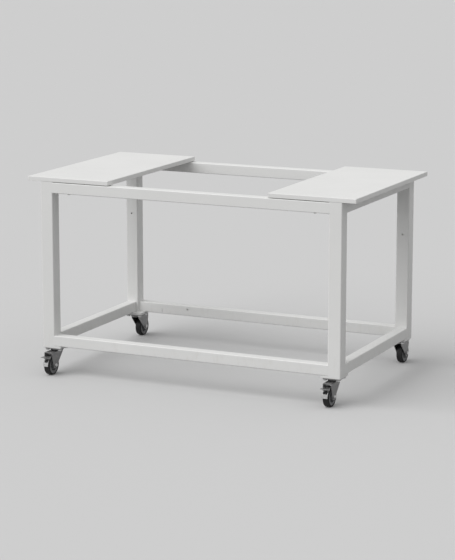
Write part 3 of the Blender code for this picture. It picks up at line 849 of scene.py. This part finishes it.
class STAND_OT_tubes(bpy.types.Operator):
    """Builds the legs and rails as square tube, with the rails' faces run into the legs' corners"""

    bl_idname = "stand.tubes"
    bl_label = "Legs and rails"

    def execute(self, context):
        sizes = context.scene.stand_looks.tubes
        paint = finish(context, "white_powder_coat")
        tubes = [(f"leg_{end}_{side}", self.leg) for end, side in CORNERS]
        tubes += [(f"{level}_rail_{where}", self.rail) for level, where in RAILS]
        for node, build in tubes:
            mesh = smooth(worked(node + "_tube", *build(node, size_of(node), sizes)))
            place = Matrix.Translation(middle_of(node))
            piece(node + "_tube", mesh, paint, "frame", [node], place)
        return {"FINISHED"}

    def leg(self, node, size, sizes):
        """The tube of a leg and the hole in the front wall of a rear one."""
        blank = tube("Z", size.z, size.x, sizes.leg_wall, sizes.leg_corner, sizes.corner_steps)
        if node.startswith("leg_front"):
            return blank, []
        hole = (0, -size.x / 2, sizes.leg_hole_height - size.z / 2)
        return blank, cut(rod("Y", sizes.leg_hole, size.x, hole))

    def rail(self, node, size, sizes):
        """The tube of a rail, and the hole and slot in the rear bottom one."""
        axis = "X" if size.x > size.y else "Y"
        reach = max(size.x, size.y) + 2 * sizes.leg_corner
        blank = tube(axis, reach, size.z, sizes.rail_wall, sizes.rail_corner, sizes.corner_steps)
        if node != "bottom_rail_rear":
            return blank, []
        left_end = -size.x / 2
        face = -size.z / 2
        hole = (left_end + sizes.rail_hole_place, face, sizes.rail_hole_rise)
        slot = (left_end + sizes.slot_place, face, -sizes.slot_drop)
        round_end = sizes.slot_width * 0.45
        outline = rounded_rectangle(sizes.slot_width, sizes.slot_height, round_end, height=0, steps=6)
        slot_tool = prism([(x, z) for x, z, _ in outline], -size.z / 2, size.z / 2, "Y")
        return blank, cut(rod("Y", sizes.rail_hole, size.z, hole), moved(slot_tool, slot))


class STAND_OT_welds(bpy.types.Operator):
    """Lays painted weld beads where rails meet legs and where the pads meet the frame"""

    bl_idname = "stand.welds"
    bl_label = "Weld beads"

    def execute(self, context):
        sizes = context.scene.stand_looks.tubes
        paint = finish(context, "white_powder_coat")
        seams = []
        for level, where in RAILS:
            seams += self.rail_seams(level, where, sizes.rail_corner)
        seams += [self.pad_seam(end, side) for end, side in CORNERS]
        points = []
        edges = []
        for seam in seams:
            first = len(points)
            points += seam
            edges += [(first + i, first + i + 1) for i in range(len(seam) - 1)]
        mesh = bpy.data.meshes.new("weld_seams")
        mesh.from_pydata(points, edges, [])
        values = {
            "Radius": sizes.weld_radius,
            "Pitch": sizes.weld_pitch,
            "Ripple": sizes.weld_ripple,
            "Seed": float(sizes.weld_seed),
            "Finish": paint,
        }
        beads = grown("weld_beads", mesh, bead_tree(), values)
        piece("weld_beads", beads, paint, "frame")
        return {"FINISHED"}

    def rail_seams(self, level, where, corner):
        """Paths round a rail's two ends: along the side that faces the opening, then the inner face."""
        low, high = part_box(f"{level}_rail_{where}")
        runs_across = where in ENDS
        along_axis, across = (0, 1) if runs_across else (1, 0)
        outward = ENDS[where] if runs_across else SIDES[where]
        inner, outer = (low[across], high[across]) if outward > 0 else (high[across], low[across])
        up = 1 if level == "top" else -1
        start, last = (low.z, high.z) if up > 0 else (high.z, low.z)
        outline = [(outer - outward * corner, start)]
        for turn in quarter_turns(4):
            drawn = inner + outward * corner * (1 - math.sin(turn))
            outline.append((drawn, start + up * corner * (1 - math.cos(turn))))
        outline.append((inner, last - up * corner))
        ends = (low[along_axis], high[along_axis])
        return [[(end, a, z) if runs_across else (a, end, z) for a, z in outline] for end in ends]

    def pad_seam(self, end, side):
        """A path on a pad round the inner corner of the leg and its two rails."""

        def inner_corner(node):
            low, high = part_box(node)
            return (high.x if side == "left" else low.x), (high.y if end == "front" else low.y)

        inside_pad = 0.0015
        pad_x, pad_y = inner_corner(f"caster_pad_{end}_{side}")
        pad_x += SIDES[side] * inside_pad
        pad_y += ENDS[end] * inside_pad
        leg_x, leg_y = inner_corner(f"leg_{end}_{side}")
        rail_x = inner_corner(f"bottom_rail_{side}")[0]
        rail_y = inner_corner(f"bottom_rail_{end}")[1]
        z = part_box(f"caster_pad_{end}_{side}")[1].z
        path = [(pad_x, rail_y), (leg_x, rail_y), (leg_x, leg_y), (rail_x, leg_y), (rail_x, pad_y)]
        return [(x, y, z) for x, y in path]


class STAND_OT_boards(bpy.types.Operator):
    """Builds the two folded boards, whose lips are mitred at the corners"""

    bl_idname = "stand.boards"
    bl_label = "Top boards"

    def execute(self, context):
        sizes = context.scene.stand_looks.boards
        paint = finish(context, "white_powder_coat")
        for side in SIDES:
            node = f"top_board_{side}"
            size = size_of(node)
            middle = middle_of(node)
            under = -size.z / 2
            walls = 2 * sizes.sheet
            mouth = (size.x - 2 * sizes.lip, size.y - 2 * sizes.lip, size.z)
            tools = [box((size.x - walls, size.y - walls, size.z - walls)), box(mouth, (0, 0, under))]
            tools += self.mitres(size, sizes)
            for end in ENDS:
                screw = middle_of(f"board_screw_{end}_{side}") - middle
                tools.append(rod("Z", sizes.screw_radius, size.z, (screw.x, screw.y, under)))
            mesh = smooth(worked(node + "_sheet", self.tray(size, sizes), cut(*tools)))
            piece(node + "_sheet", mesh, paint, "frame", [node], Matrix.Translation(middle))
        return {"FINISHED"}

    def mitres(self, size, sizes):
        """Slits across the lips at the four corners."""
        reach = sizes.lip * 1.30
        near = sizes.lip * 0.56
        slit = (reach, sizes.mitre, 4 * sizes.sheet)
        slits = []
        for to_right in SIDES.values():
            for to_back in ENDS.values():
                place = (to_right * (size.x / 2 - near), to_back * (size.y / 2 - near), -size.z / 2)
                slits.append(box(slit, place, to_right * to_back * math.pi / 4))
        return slits

    def tray(self, size, sizes):
        """The outside of a board, with its folds and corners rounded."""
        steps = sizes.fold_steps
        low = sizes.fold_low
        high = sizes.fold
        top = size.z / 2
        sharpest = 0.0002
        turns = quarter_turns(steps)
        rings = [(low * (1 - math.sin(turn)), low * (1 - math.cos(turn)) - top) for turn in turns]
        rings += [(high * (1 - math.cos(turn)), top - high * (1 - math.sin(turn))) for turn in turns]
        loops = []
        for draw, height in rings:
            corner = max(high - draw, sharpest)
            loops.append(rounded_rectangle(size.x - 2 * draw, size.y - 2 * draw, corner, height, steps))
        return loops_shape(loops)


class STAND_OT_board_screws(bpy.types.Operator):
    """Sets a painted cross-head screw up through each end of the long top rails"""

    bl_idname = "stand.board_screws"
    bl_label = "Board screws"

    def execute(self, context):
        sizes = context.scene.stand_looks.boards
        paint = finish(context, "white_powder_coat")
        nodes = [f"board_screw_{end}_{side}" for end, side in CORNERS]
        rail_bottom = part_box("top_rail_front")[0].z
        head = rail_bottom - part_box(nodes[0])[0].z
        screw = self.screw(sizes, head, size_of(nodes[0]).z - head)
        places = []
        as_driven = (12, 57, 33, 80)  # how far each recess is turned
        for node, degrees in zip(nodes, as_driven):
            middle = middle_of(node)
            places.append(((middle.x, middle.y, rail_bottom), (0, 0, math.radians(degrees))))
        mesh = set_out("board_screw_set", screw, places, paint)
        piece("board_screw_set", mesh, paint, "frame", nodes)
        return {"FINISHED"}

    def screw(self, sizes, head, reach):
        """A screw that stands on its seat, with a domed head under that and a cross recess in the head."""
        shank = sizes.screw_radius
        wide = sizes.screw_head
        flat = 0.55  # flat middle of the head, of its radius
        rim = 0.34  # upright rim of the head, of its height
        profile = [
            (0, reach),
            (shank * 0.7, reach),
            (shank, reach - shank * 0.4),
            (shank, 0),
            (wide, 0),
            (wide, -head * rim),
        ]
        for turn in quarter_turns(6)[1:]:
            radius = wide * (flat + (1 - flat) * math.cos(turn))
            profile.append((radius, -head * (rim + (1 - rim) * math.sin(turn))))
        profile.append((0, -head))
        arm = 2 * sizes.recess
        wing = sizes.recess * 0.42
        deep = head * 1.1
        cross = cut(box((arm, wing, deep), (0, 0, -head)), box((wing, arm, deep), (0, 0, -head)))
        return smooth(worked("board_screw", turned(profile, steps=36), cross))


# Casters


class STAND_OT_plates(bpy.types.Operator):
    """Builds the pads, the caster plates under them and the plate bolts"""

    bl_idname = "stand.plates"
    bl_label = "Pads and plates"

    def execute(self, context):
        sizes = context.scene.stand_looks.casters
        paint = finish(context, "white_powder_coat")
        zinc = finish(context, "zinc_plated_sheet")
        steel = finish(context, "bright_plated_steel")
        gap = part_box("leg_front_left")[0].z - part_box("caster_pad_front_left")[1].z
        block = self.pad(size_of("caster_pad_front_left"), sizes, gap)
        sheet = self.plate(size_of("front_left_caster_plate"), sizes)
        both_ways = (-sizes.bolt_place, sizes.bolt_place)
        bolts = []
        for end, side in CORNERS:
            pad = f"caster_pad_{end}_{side}"
            middle = middle_of(pad)
            foot = Matrix.Translation((middle.x, middle.y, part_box(pad)[0].z))
            piece(pad + "_block", block, paint, "frame", [pad], foot)
            plate = f"{end}_{side}_caster_plate"
            middle = middle_of(plate)
            piece(plate + "_sheet", sheet, zinc, "frame", [plate], Matrix.Translation(middle))
            under = middle.z - size_of(plate).z / 2
            for dx in both_ways:
                bolts += [((middle.x + dx, middle.y + dy, under), (0, 0, 0)) for dy in both_ways]
        sixth = math.pi / 3
        mesh = set_out("plate_bolts", self.bolt(sizes), bolts, steel, sixth, sizes.bolt_seed)
        piece("plate_bolts", mesh, steel, "frame")
        return {"FINISHED"}

    def pad(self, size, sizes, gap):
        """A square block with its lower edges cut back, up to the foot of the leg."""
        low = size.x - 2 * sizes.pad_slope
        soft = 0.0006
        rings = [
            (low - 2 * soft, 0.0),
            (low - 0.5 * soft, soft * 0.25),
            (low, soft * 0.8),
            (size.x - soft, sizes.pad_slope_height - soft),
            (size.x, sizes.pad_slope_height),
            (size.x, size.z + gap),
        ]
        loops = [rounded_rectangle(side, side, sizes.pad_corner, z, steps=8) for side, z in rings]
        return smooth(mesh_of("pad_block", loops_shape(loops)))

    def plate(self, size, sizes):
        """A sheet with round corners and a hole for the kingpin."""
        half = size.z / 2
        loops = [rounded_rectangle(size.x, size.y, sizes.plate_corner, z, steps=10) for z in (-half, half)]
        hole = rod("Z", sizes.pin_radius, 4 * size.z)
        return smooth(worked("plate_sheet", loops_shape(loops), cut(hole), sizes.edge))

    def bolt(self, sizes):
        """A hexagon head that hangs under the plate on a washer face, with its lower corners turned off."""
        washer = 0.0008
        rim = sizes.bolt_flats * 0.612
        steps = 36
        bar, chamfer = hexagon_head(
            sizes.bolt_flats, 0.0, -sizes.bolt_head, sunk=washer, face=0.47, slope=0.6, steps=steps
        )
        face = turned([(0, 0), (rim, 0), (rim, -washer), (0, -washer)], steps)
        head = shape_of(worked("plate_bolt", bar, [chamfer]))
        return smooth(mesh_of("plate_bolt", joined([face, head])))


def caster_place(end, side):
    """The swivel axis of a caster on the floor, turned the way that the caster trails."""
    swivel = JOINTS[f"{end}_{side}_swivel"]
    turn = math.pi if end == "rear" else 0.0
    return Matrix.Translation((swivel.x, swivel.y, 0)) @ Matrix.Rotation(turn, 4, "Z")


def caster_sizes():
    """Sizes of the casters, from the joints: trail, axle height, roof height and the pedal's pivot."""
    swivel = JOINTS["front_left_swivel"]
    axle = JOINTS["front_left_wheel_spin"]
    pivot = JOINTS["front_left_brake"]
    return swivel.y - axle.y, axle.z, swivel.z, (pivot.y - swivel.y, pivot.z)


def tyre_sizes():
    """Width and radius of a tyre."""
    size = size_of("front_left_tyre")
    return size.x, size.z / 2


def at_axles(parts):
    """Sets parts on the axle of each caster, each as (piece, mesh, finish, body, slot, replaced nodes)."""
    trail, axle_height, _, _ = caster_sizes()
    for end, side in CORNERS:
        name = f"{end}_{side}_"
        place = caster_place(end, side) @ Matrix.Translation((0, -trail, axle_height))
        for part, mesh, material, body, slot, nodes in parts:
            replaced = [name + node for node in nodes]
            piece(name + part, mesh, material, name + body, replaced, place)


def tangent_angle(point, centre, radius, way):
    """The angle on a circle where a line from a point outside touches it."""
    dy = point[0] - centre[0]
    dz = point[1] - centre[1]
    return math.atan2(dz, dy) + way * math.acos(radius / math.hypot(dy, dz))


class STAND_OT_swivels(bpy.types.Operator):
    """Builds the swivel races and finishes the kingpins and axle sleeves"""

    bl_idname = "stand.swivels"
    bl_label = "Swivel races"

    def execute(self, context):
        zinc = finish(context, "zinc_plated_sheet")
        steel = finish(context, "bright_plated_steel")
        rings = self.rings(context.scene.stand_looks.casters, size_of("front_left_swivel_race").z)
        for end, side in CORNERS:
            node = f"{end}_{side}_swivel_race"
            swivel = JOINTS[f"{end}_{side}_swivel"]
            place = Matrix.Translation((swivel.x, swivel.y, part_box(node)[0].z))
            piece(node + "_rings", rings, zinc, "frame", [node], place)
            for kind in ("kingpin", "axle_sleeve"):
                solid = frame["nodes"][f"{end}_{side}_{kind}"]
                solid.data.materials.clear()
                solid.data.materials.append(steel)
        return {"FINISHED"}

    def rings(self, sizes, tall):
        """A wide lower ring and a narrow upper one, with a groove between them."""
        wide = sizes.race_radius
        neck = sizes.race_neck
        room = 0.0003  # round the pin
        bore = sizes.pin_radius + room
        groove = neck - 0.0016
        profile = [
            (bore, 0.0, 0.0),
            (wide, 0.0, 0.0005),
            (wide, tall * 0.40, 0.0006),
            (neck + 0.0012, tall * 0.44, 0.0),
            (groove, tall * 0.50, 0.0),
            (groove, tall * 0.62, 0.0),
            (neck, tall * 0.66, 0.0004),
            (neck, tall, 0.0004),
            (bore, tall, 0.0),
        ]
        return smooth(mesh_of("race_rings", turned(profile, steps=64, fillet=4)))


class STAND_OT_forks(bpy.types.Operator):
    """Builds the pressed forks with bent shoulders and rounded edges"""

    bl_idname = "stand.forks"
    bl_label = "Caster forks"

    def execute(self, context):
        looks = context.scene.stand_looks
        zinc = finish(context, "zinc_plated_sheet")
        mesh = self.fork(looks.casters, looks.wheels)
        for end, side in CORNERS:
            node = f"{end}_{side}_caster_fork"
            place = caster_place(end, side)
            piece(node + "_pressing", mesh, zinc, f"{end}_{side}_fork", [node], place)
        return {"FINISHED"}

    def section(self, sizes, half, roof_top):
        """End view of the channel: over the roof from left to right, and back inside."""
        outer = half + sizes.cheek
        bend = sizes.fork_bend
        tightest = 0.0008
        inside = max(bend - sizes.cheek, tightest)
        under = roof_top - sizes.roof
        corners = [
            (-outer, 0, 0),
            (-outer, roof_top, bend),
            (outer, roof_top, bend),
            (outer, 0, 0),
            (half, 0, 0),
            (half, under, inside),
            (-half, under, inside),
            (-half, 0, 0),
        ]
        return filleted(corners, steps=6)

    def side_view(self, sizes, trail, axle_height, roof_top):
        """Side view of the cheeks: from the roof down both edges and round the axle."""
        axle = (-trail, axle_height)
        under = roof_top - sizes.roof
        over = roof_top + 0.01
        front_round = 0.004
        back_round = 0.006
        front = (-trail - sizes.cheek_front, under - sizes.cheek_front_skirt)
        back = (sizes.cheek_back, under - sizes.cheek_skirt)
        boss = sizes.cheek_boss
        start = tangent_angle(front, axle, boss, 1)
        end = tangent_angle(back, axle, boss, -1) + 2 * math.pi
        steps = 24
        corners = [(front[0], over, 0), (*front, front_round)]
        for step in range(steps + 1):
            turn = start + (end - start) * step / steps
            corners.append((axle[0] + boss * math.cos(turn), axle[1] + boss * math.sin(turn), 0))
        return filleted(corners + [(*back, back_round), (back[0], over, 0)], steps=6)

    def fork(self, sizes, wheels):
        """A channel cut to its side view, with a disc pressed up for the race and holes for the pins."""
        width, _ = tyre_sizes()
        trail, axle_height, roof_top, pivot = caster_sizes()
        half = width / 2 + sizes.side_clear
        across = 8 * half
        beyond = 0.06
        through = 0.02
        room = 0.0004  # round the pins
        blank = prism(self.section(sizes, half, roof_top), -trail - beyond, beyond, "Y")
        sides = prism(self.side_view(sizes, trail, axle_height, roof_top), -across, across)
        axle_hole = rod("X", sizes.axle_radius, across, (0, -trail, axle_height))
        pedal_hole = rod("X", wheels.pedal_pin + room, across, (0, *pivot))
        cheeks = [("INTERSECT", sides), *cut(axle_hole, pedal_hole)]
        channel = worked("fork_channel", blank, cheeks, sizes.edge)
        seat = roof_top + sizes.seat_rise
        disc = [
            (0, seat, 0),
            (sizes.crown_radius, seat, sizes.edge),
            (sizes.crown_radius, seat - sizes.roof, sizes.edge),
            (0, seat - sizes.roof, 0),
        ]
        pin_hole = rod("Z", sizes.pin_radius + room, through, (0, 0, roof_top))
        crown = [("UNION", turned(disc, steps=72, fillet=3)), *cut(pin_hole)]
        return smooth(worked("fork_pressing", shape_of(channel), crown))


class STAND_OT_axles(bpy.types.Operator):
    """Builds the axle bolts with chamfered heads and the lock nuts on their ends"""

    bl_idname = "stand.axles"
    bl_label = "Axle bolts"

    def execute(self, context):
        sizes = context.scene.stand_looks.casters
        steel = finish(context, "bright_plated_steel")
        face = tyre_sizes()[0] / 2 + sizes.side_clear + sizes.cheek
        bolt = self.outside_cheek(self.bolt(sizes, face), -1, face)
        nut = self.outside_cheek(self.nut(sizes), 1, face)
        parts = [
            ("axle_bolt_turned", bolt, steel, "fork", "steel", ["axle_bolt"]),
            ("axle_nut_turned", nut, steel, "fork", "steel", ["axle_nut"]),
        ]
        at_axles(parts)
        return {"FINISHED"}

    def outside_cheek(self, mesh, way, face):
        """Lays a piece that stands on its seat against the outside of a cheek, to the left or right."""
        mesh.transform(Matrix.Rotation(way * math.pi / 2, 4, "Y"))
        mesh.transform(Matrix.Translation((way * face, 0, 0)))
        return smooth(mesh)

    def head(self, sizes, high):
        """A hexagon with its upper corners turned off."""
        return hexagon_head(sizes.axle_flats, 0.0, high, sunk=0.0, face=0.475, slope=0.577, steps=48)

    def bolt(self, sizes, face):
        """A head over a shaft that goes down, with a few turns of thread past the nut."""
        radius = sizes.axle_radius
        root = radius * 0.88
        end = -(2 * face + sizes.axle_nut + sizes.axle_end)
        pitch = 0.0009
        depth = end + 5 * pitch
        shaft = [(0, PAST), (radius, PAST), (radius, depth)]
        while depth > end + 1.5 * pitch:
            shaft.append((root, depth - pitch / 2))
            depth -= pitch
            shaft.append((radius, depth))
        shaft += [(radius * 0.80, end), (0, end)]
        bar, chamfer = self.head(sizes, sizes.axle_head)
        return worked("axle_bolt", bar, [chamfer, ("UNION", turned(shaft, steps=40))])

    def nut(self, sizes):
        """A lock nut: a hexagon with a domed collar that holds its insert."""
        tall = sizes.axle_nut
        hex_top = tall * 0.72
        seat = hex_top * 0.8
        collar = [
            (0, seat, 0),
            (sizes.axle_flats * 0.46, seat, 0),
            (sizes.axle_flats * 0.44, tall, 0.0011),
            (0, tall, 0),
        ]
        bar, chamfer = self.head(sizes, hex_top)
        hole = rod("Z", sizes.axle_radius * 1.04, 4 * tall)
        dome = turned(collar, steps=48, fillet=4)
        return worked("axle_nut", bar, [chamfer, ("UNION", dome), *cut(hole)])


class STAND_OT_wheels(bpy.types.Operator):
    """Builds the tyres and the ribbed wheel cores"""

    bl_idname = "stand.wheels"
    bl_label = "Wheels"

    def execute(self, context):
        sizes = context.scene.stand_looks.wheels
        rubber = finish(context, "black_tyre_rubber")
        plastic = finish(context, "grey_core_plastic")
        width, radius = tyre_sizes()
        tyre = self.tyre(sizes, width, radius)
        core = self.core(sizes, radius, size_of("front_left_wheel_hub").x / 2)
        ribs = set_out("wheel_ribs", self.rib(sizes, radius), self.rib_places(sizes), plastic)
        parts = [
            ("tyre_rubber", tyre, rubber, "wheel", "tyre", ["tyre"]),
            ("wheel_core", core, plastic, "wheel", "wheel_core", ["wheel_hub"]),
            ("wheel_ribs", ribs, plastic, "wheel", "wheel_core", []),
        ]
        at_axles(parts)
        return {"FINISHED"}

    def tyre(self, sizes, width, radius):
        """A solid tyre with round shoulders and a fine mould seam."""
        half = width / 2
        tread = radius - sizes.seam
        inside = radius - sizes.tyre_depth
        seam = 0.0008
        crest = seam * 0.3
        edge = 0.0005
        shoulder = []
        for turn in quarter_turns(8):
            height = tread - sizes.shoulder * (1 - math.sin(turn))
            shoulder.append((height, half - sizes.shoulder * (1 - math.cos(turn))))
        outline = [(inside, -half, edge)]
        outline += [(height, -out, 0) for height, out in shoulder]
        outline += [(tread, -seam, 0), (radius, -crest, 0), (radius, crest, 0), (tread, seam, 0)]
        outline += [(height, out, 0) for height, out in reversed(shoulder)]
        outline.append((inside, half, edge))
        return smooth(mesh_of("tyre", turned(outline, sizes.steps, "X", fillet=3)))

    def core(self, sizes, radius, boss):
        """A boss on the sleeve, a thin web and a rim under the tyre."""
        outer = radius - sizes.tyre_depth
        rim = sizes.rim_width / 2
        web = sizes.hub_web / 2
        inner = outer - sizes.rim_depth
        rim_draft = 0.0012
        boss_draft = 0.001
        half = [
            (outer, rim, 0.0006),
            (inner, rim, 0.0008),
            (inner - rim_draft, web, 0.0016),
            (sizes.hub_boss + boss_draft, web, 0.0016),
            (sizes.hub_boss, boss, 0.0008),
            (sizes.hub_bore, boss, 0.0004),
        ]
        other = [(r, -x, soft) for r, x, soft in reversed(half)]
        return smooth(mesh_of("wheel_core", turned(half + other, sizes.steps, "X", fillet=4)))

    def rib(self, sizes, radius):
        """One rib that stands on the web and runs from the boss to the rim, along Z on the +X side."""
        low = sizes.hub_boss - PAST
        high = radius - sizes.tyre_depth - sizes.rim_depth + PAST
        web = sizes.hub_web / 2 - PAST
        below_rim = 0.0022
        top = sizes.rim_width / 2 - below_rim
        blank = box((top - web, sizes.rib, high - low), ((top + web) / 2, 0, (low + high) / 2))
        return smooth(worked("wheel_rib", blank, edge=0.0004))

    def rib_places(self, sizes):
        """Both sides of the web; the far side is reached by half a turn about Z."""
        turns = [2 * math.pi * i / sizes.ribs for i in range(sizes.ribs)]
        return [((0, 0, 0), (turn, 0, side)) for turn in turns for side in (0, math.pi)]


class STAND_OT_pedals(bpy.types.Operator):
    """Builds the brake pedals of the front casters"""

    bl_idname = "stand.pedals"
    bl_label = "Brake pedals"

    def execute(self, context):
        looks = context.scene.stand_looks
        steel = finish(context, "plated_pedal_steel")
        mesh = self.pedal(looks.wheels, looks.casters)
        for side in SIDES:
            name = f"front_{side}"
            place = Matrix.Translation(JOINTS[f"{name}_brake"])
            node = f"{name}_brake_pedal"
            piece(node + "_pressing", mesh, steel, f"{name}_pedal", [node], place)
        return {"FINISHED"}

    def on_web(self, sizes, turn, outward):
        """A point of the web as (forward, up) from the axle."""
        part = (turn - sizes.pedal_start) / (sizes.pedal_end - sizes.pedal_start)
        clear = sizes.pedal_clear + part * (sizes.pedal_clear_low - sizes.pedal_clear)
        reach = sizes.wheel_radius + clear + outward
        return (reach * math.sin(turn), reach * math.cos(turn))

    def web_outline(self, sizes):
        """Side view of the web round the tyre, with the lower lip."""
        steps = 20
        sheet = sizes.pedal_sheet
        sweep = sizes.pedal_end - sizes.pedal_start
        turns = [sizes.pedal_start + sweep * i / steps for i in range(steps + 1)]
        inner = [self.on_web(sizes, turn, 0) for turn in turns]
        outer = [self.on_web(sizes, turn, sheet) for turn in reversed(turns)]
        heel = outer[0]
        ahead = math.cos(sizes.pedal_toe_slope)
        down = math.sin(sizes.pedal_toe_slope)
        toe = (heel[0] + sizes.pedal_toe * ahead, heel[1] - sizes.pedal_toe * down)
        toe_inside = (toe[0] - sheet * down, toe[1] - sheet * ahead)
        return inner + [toe_inside, toe] + outer

    def lip_outline(self, sizes, forward, rise):
        """Side view of the boss round the pin and the upper lip in front of it."""
        sheet = sizes.pedal_sheet
        boss = sizes.pedal_boss
        inside = sheet / 2
        bend = 0.002
        root_bend = 0.003
        throat = self.on_web(sizes, sizes.pedal_throat, inside)
        edge = (sizes.wheel_radius + sizes.pedal_lip, rise + sizes.pedal_lip_rise)
        top = rise + boss
        corners = [
            (*self.on_web(sizes, math.atan2(forward, rise), inside), 0),
            (*throat, 0),
            (throat[0] + sheet, rise - sheet, bend),
            (edge[0], edge[1] - sheet, 0),
            (*edge, 0),
            (throat[0], rise, root_bend),
            (forward + boss, top - inside, bend),
            (forward, top, bend),
            (forward - boss, top, bend),
            (*self.on_web(sizes, sizes.pedal_start, inside), 0),
        ]
        return filleted(corners, steps=5)

    def window(self, sizes, middle):
        """What is cut from the web where the upper lip was bent out of it."""
        half = 3 * sizes.pedal_sheet
        outline = (sizes.window_width, sizes.window_height, sizes.pedal_sheet)
        tool = loops_shape([rounded_rectangle(*outline, z, steps=6) for z in (-half, half)])
        tool.transform(Matrix.Rotation(sizes.window_place, 4, "X"))
        return moved(tool, (0, *middle))

    def pedal(self, sizes, casters):
        """The boss and upper lip, the web with its window and the pin, about the pin's axis."""
        trail, axle_height, _, pivot = caster_sizes()
        forward = -trail - pivot[0]
        rise = pivot[1] - axle_height
        half = tyre_sizes()[0] / 2 + casters.side_clear

        def from_pin(outline):
            return [(forward - ahead, up - rise) for ahead, up in outline]

        blank = pressed(from_pin(self.web_outline(sizes)), sizes.pedal_web / 2, sizes.pedal_edge)
        middle = from_pin([self.on_web(sizes, sizes.window_place, 0)])[0]
        web = shape_of(worked("pedal_web", blank, cut(self.window(sizes, middle))))
        lip_outline = from_pin(self.lip_outline(sizes, forward, rise))
        lip = pressed(lip_outline, half - sizes.pedal_side, sizes.pedal_edge)
        pin_half = half + casters.cheek + sizes.pedal_pin_end
        soft = 0.0005
        pin = [
            (0, -pin_half, 0),
            (sizes.pedal_pin, -pin_half, soft),
            (sizes.pedal_pin, pin_half, soft),
            (0, pin_half, 0),
        ]
        shaft = turned(pin, steps=32, axis="X", fillet=3)
        return smooth(mesh_of("pedal_pressing", joined([lip, web, shaft])))


# Stage


class STAND_OT_stage(bpy.types.Operator):
    """Sets a pale floor, soft light and the camera"""

    bl_idname = "stand.stage"
    bl_label = "Stage"

    def execute(self, context):
        stage = context.scene.stand_looks.stage
        self.floor(stage)
        self.surroundings(context, stage)
        self.key_lamp(stage)
        self.camera(context, stage)
        context.scene.view_settings.view_transform = "Standard"
        return {"FINISHED"}

    def seen(self, tree):
        """1 for rays that show the background: camera, glossy and transmission rays."""
        rays = add(tree, "ShaderNodeLightPath").outputs
        shown_rays = maths(tree, "MAXIMUM", rays["Is Camera Ray"], rays["Is Glossy Ray"])
        return maths(tree, "MAXIMUM", shown_rays, rays["Is Transmission Ray"])

    def floor(self, stage):
        """A wide disc, darker as a source of light than as a background."""
        bm = bmesh.new()
        bmesh.ops.create_circle(bm, cap_ends=True, segments=96, radius=40.0)
        thing = shown("floor", mesh_of("floor", bm))
        coat = Coating("pale_floor")
        tint = coat.blend(self.seen(coat.tree), stage.floor_bounce, stage.floor)
        thing.data.materials.append(
            coat.shade({"Base Color": tint, "Roughness": 0.9, "Specular IOR Level": 0.1})
        )

    def surroundings(self, context, stage):
        """Soft light from all round, and a plain backdrop where the surroundings are seen."""
        world = bpy.data.worlds.new("studio")
        world.use_nodes = True
        tree = world.node_tree
        light = tree.nodes["Background"]
        feed(tree, light.inputs["Color"], (1.0, 1.0, 1.0))
        feed(tree, light.inputs["Strength"], stage.sky)
        back = add(tree, "ShaderNodeBackground", Color=stage.backdrop)
        mix = add(tree, "ShaderNodeMixShader")
        for socket, value in zip(mix.inputs, (self.seen(tree), light.outputs[0], back.outputs[0])):
            feed(tree, socket, value)
        feed(tree, tree.nodes["World Output"].inputs["Surface"], mix.outputs[0])
        context.scene.world = world

    def placed(self, name, data, place, back):
        """A lamp or camera at a place, looking the other way from back."""
        thing = shown(name, data)
        thing.location = place
        thing.rotation_mode = "QUATERNION"
        thing.rotation_quaternion = back.to_track_quat("Z", "Y")
        return thing

    def key_lamp(self, stage):
        data = bpy.data.lights.new("key_lamp", "SUN")
        data.energy = stage.key
        data.angle = stage.key_spread
        towards = Vector(stage.key_towards)
        clear_of_stand = 4.0
        self.placed("key_lamp", data, towards * clear_of_stand, towards)

    def camera(self, context, stage):
        data = bpy.data.cameras.new("camera")
        data.lens = stage.lens
        data.sensor_width = 36.0
        data.clip_end = 200.0
        level = math.cos(stage.elevation)
        right = math.sin(stage.azimuth) * level
        behind = -math.cos(stage.azimuth) * level
        back = Vector((right, behind, math.sin(stage.elevation)))
        place = Vector(stage.target) + back * stage.distance
        context.scene.camera = self.placed("camera", data, place, back)


OPERATORS = (
    STAND_OT_tubes,
    STAND_OT_welds,
    STAND_OT_boards,
    STAND_OT_board_screws,
    STAND_OT_plates,
    STAND_OT_swivels,
    STAND_OT_forks,
    STAND_OT_axles,
    STAND_OT_wheels,
    STAND_OT_pedals,
    STAND_OT_stage,
)


class STAND_PT_looks(bpy.types.Panel):
    """Sizes, colours and pieces of the stand"""

    bl_idname = "STAND_PT_looks"
    bl_label = "Laser cutter stand"
    bl_space_type = "VIEW_3D"
    bl_region_type = "UI"
    bl_category = "Stand"

    def draw(self, context):
        looks = context.scene.stand_looks
        for part in looks.__annotations__:
            section = self.layout.box()
            section.label(text=part.title())
            values = getattr(looks, part)
            for name in values.__annotations__:
                section.prop(values, name)
        for operator in OPERATORS:
            self.layout.operator(operator.bl_idname)


CLASSES = (
    StandTubes,
    StandBoards,
    StandCasters,
    StandWheels,
    StandFinishes,
    StandStage,
    StandLooks,
    *OPERATORS,
    STAND_PT_looks,
)


def register():
    for kind in CLASSES:
        bpy.utils.register_class(kind)
    bpy.types.Scene.stand_looks = group("Stand looks", "All sizes and colours of the looks", StandLooks)


def unregister():
    del bpy.types.Scene.stand_looks
    for kind in reversed(CLASSES):
        bpy.utils.unregister_class(kind)


def main():
    register()
    bpy.ops.stand.tubes()
    bpy.ops.stand.welds()
    bpy.ops.stand.boards()
    bpy.ops.stand.board_screws()
    bpy.ops.stand.plates()
    bpy.ops.stand.swivels()
    bpy.ops.stand.forks()
    bpy.ops.stand.axles()
    bpy.ops.stand.wheels()
    bpy.ops.stand.pedals()
    bpy.ops.stand.stage()


if __name__ == "__main__":
    main()
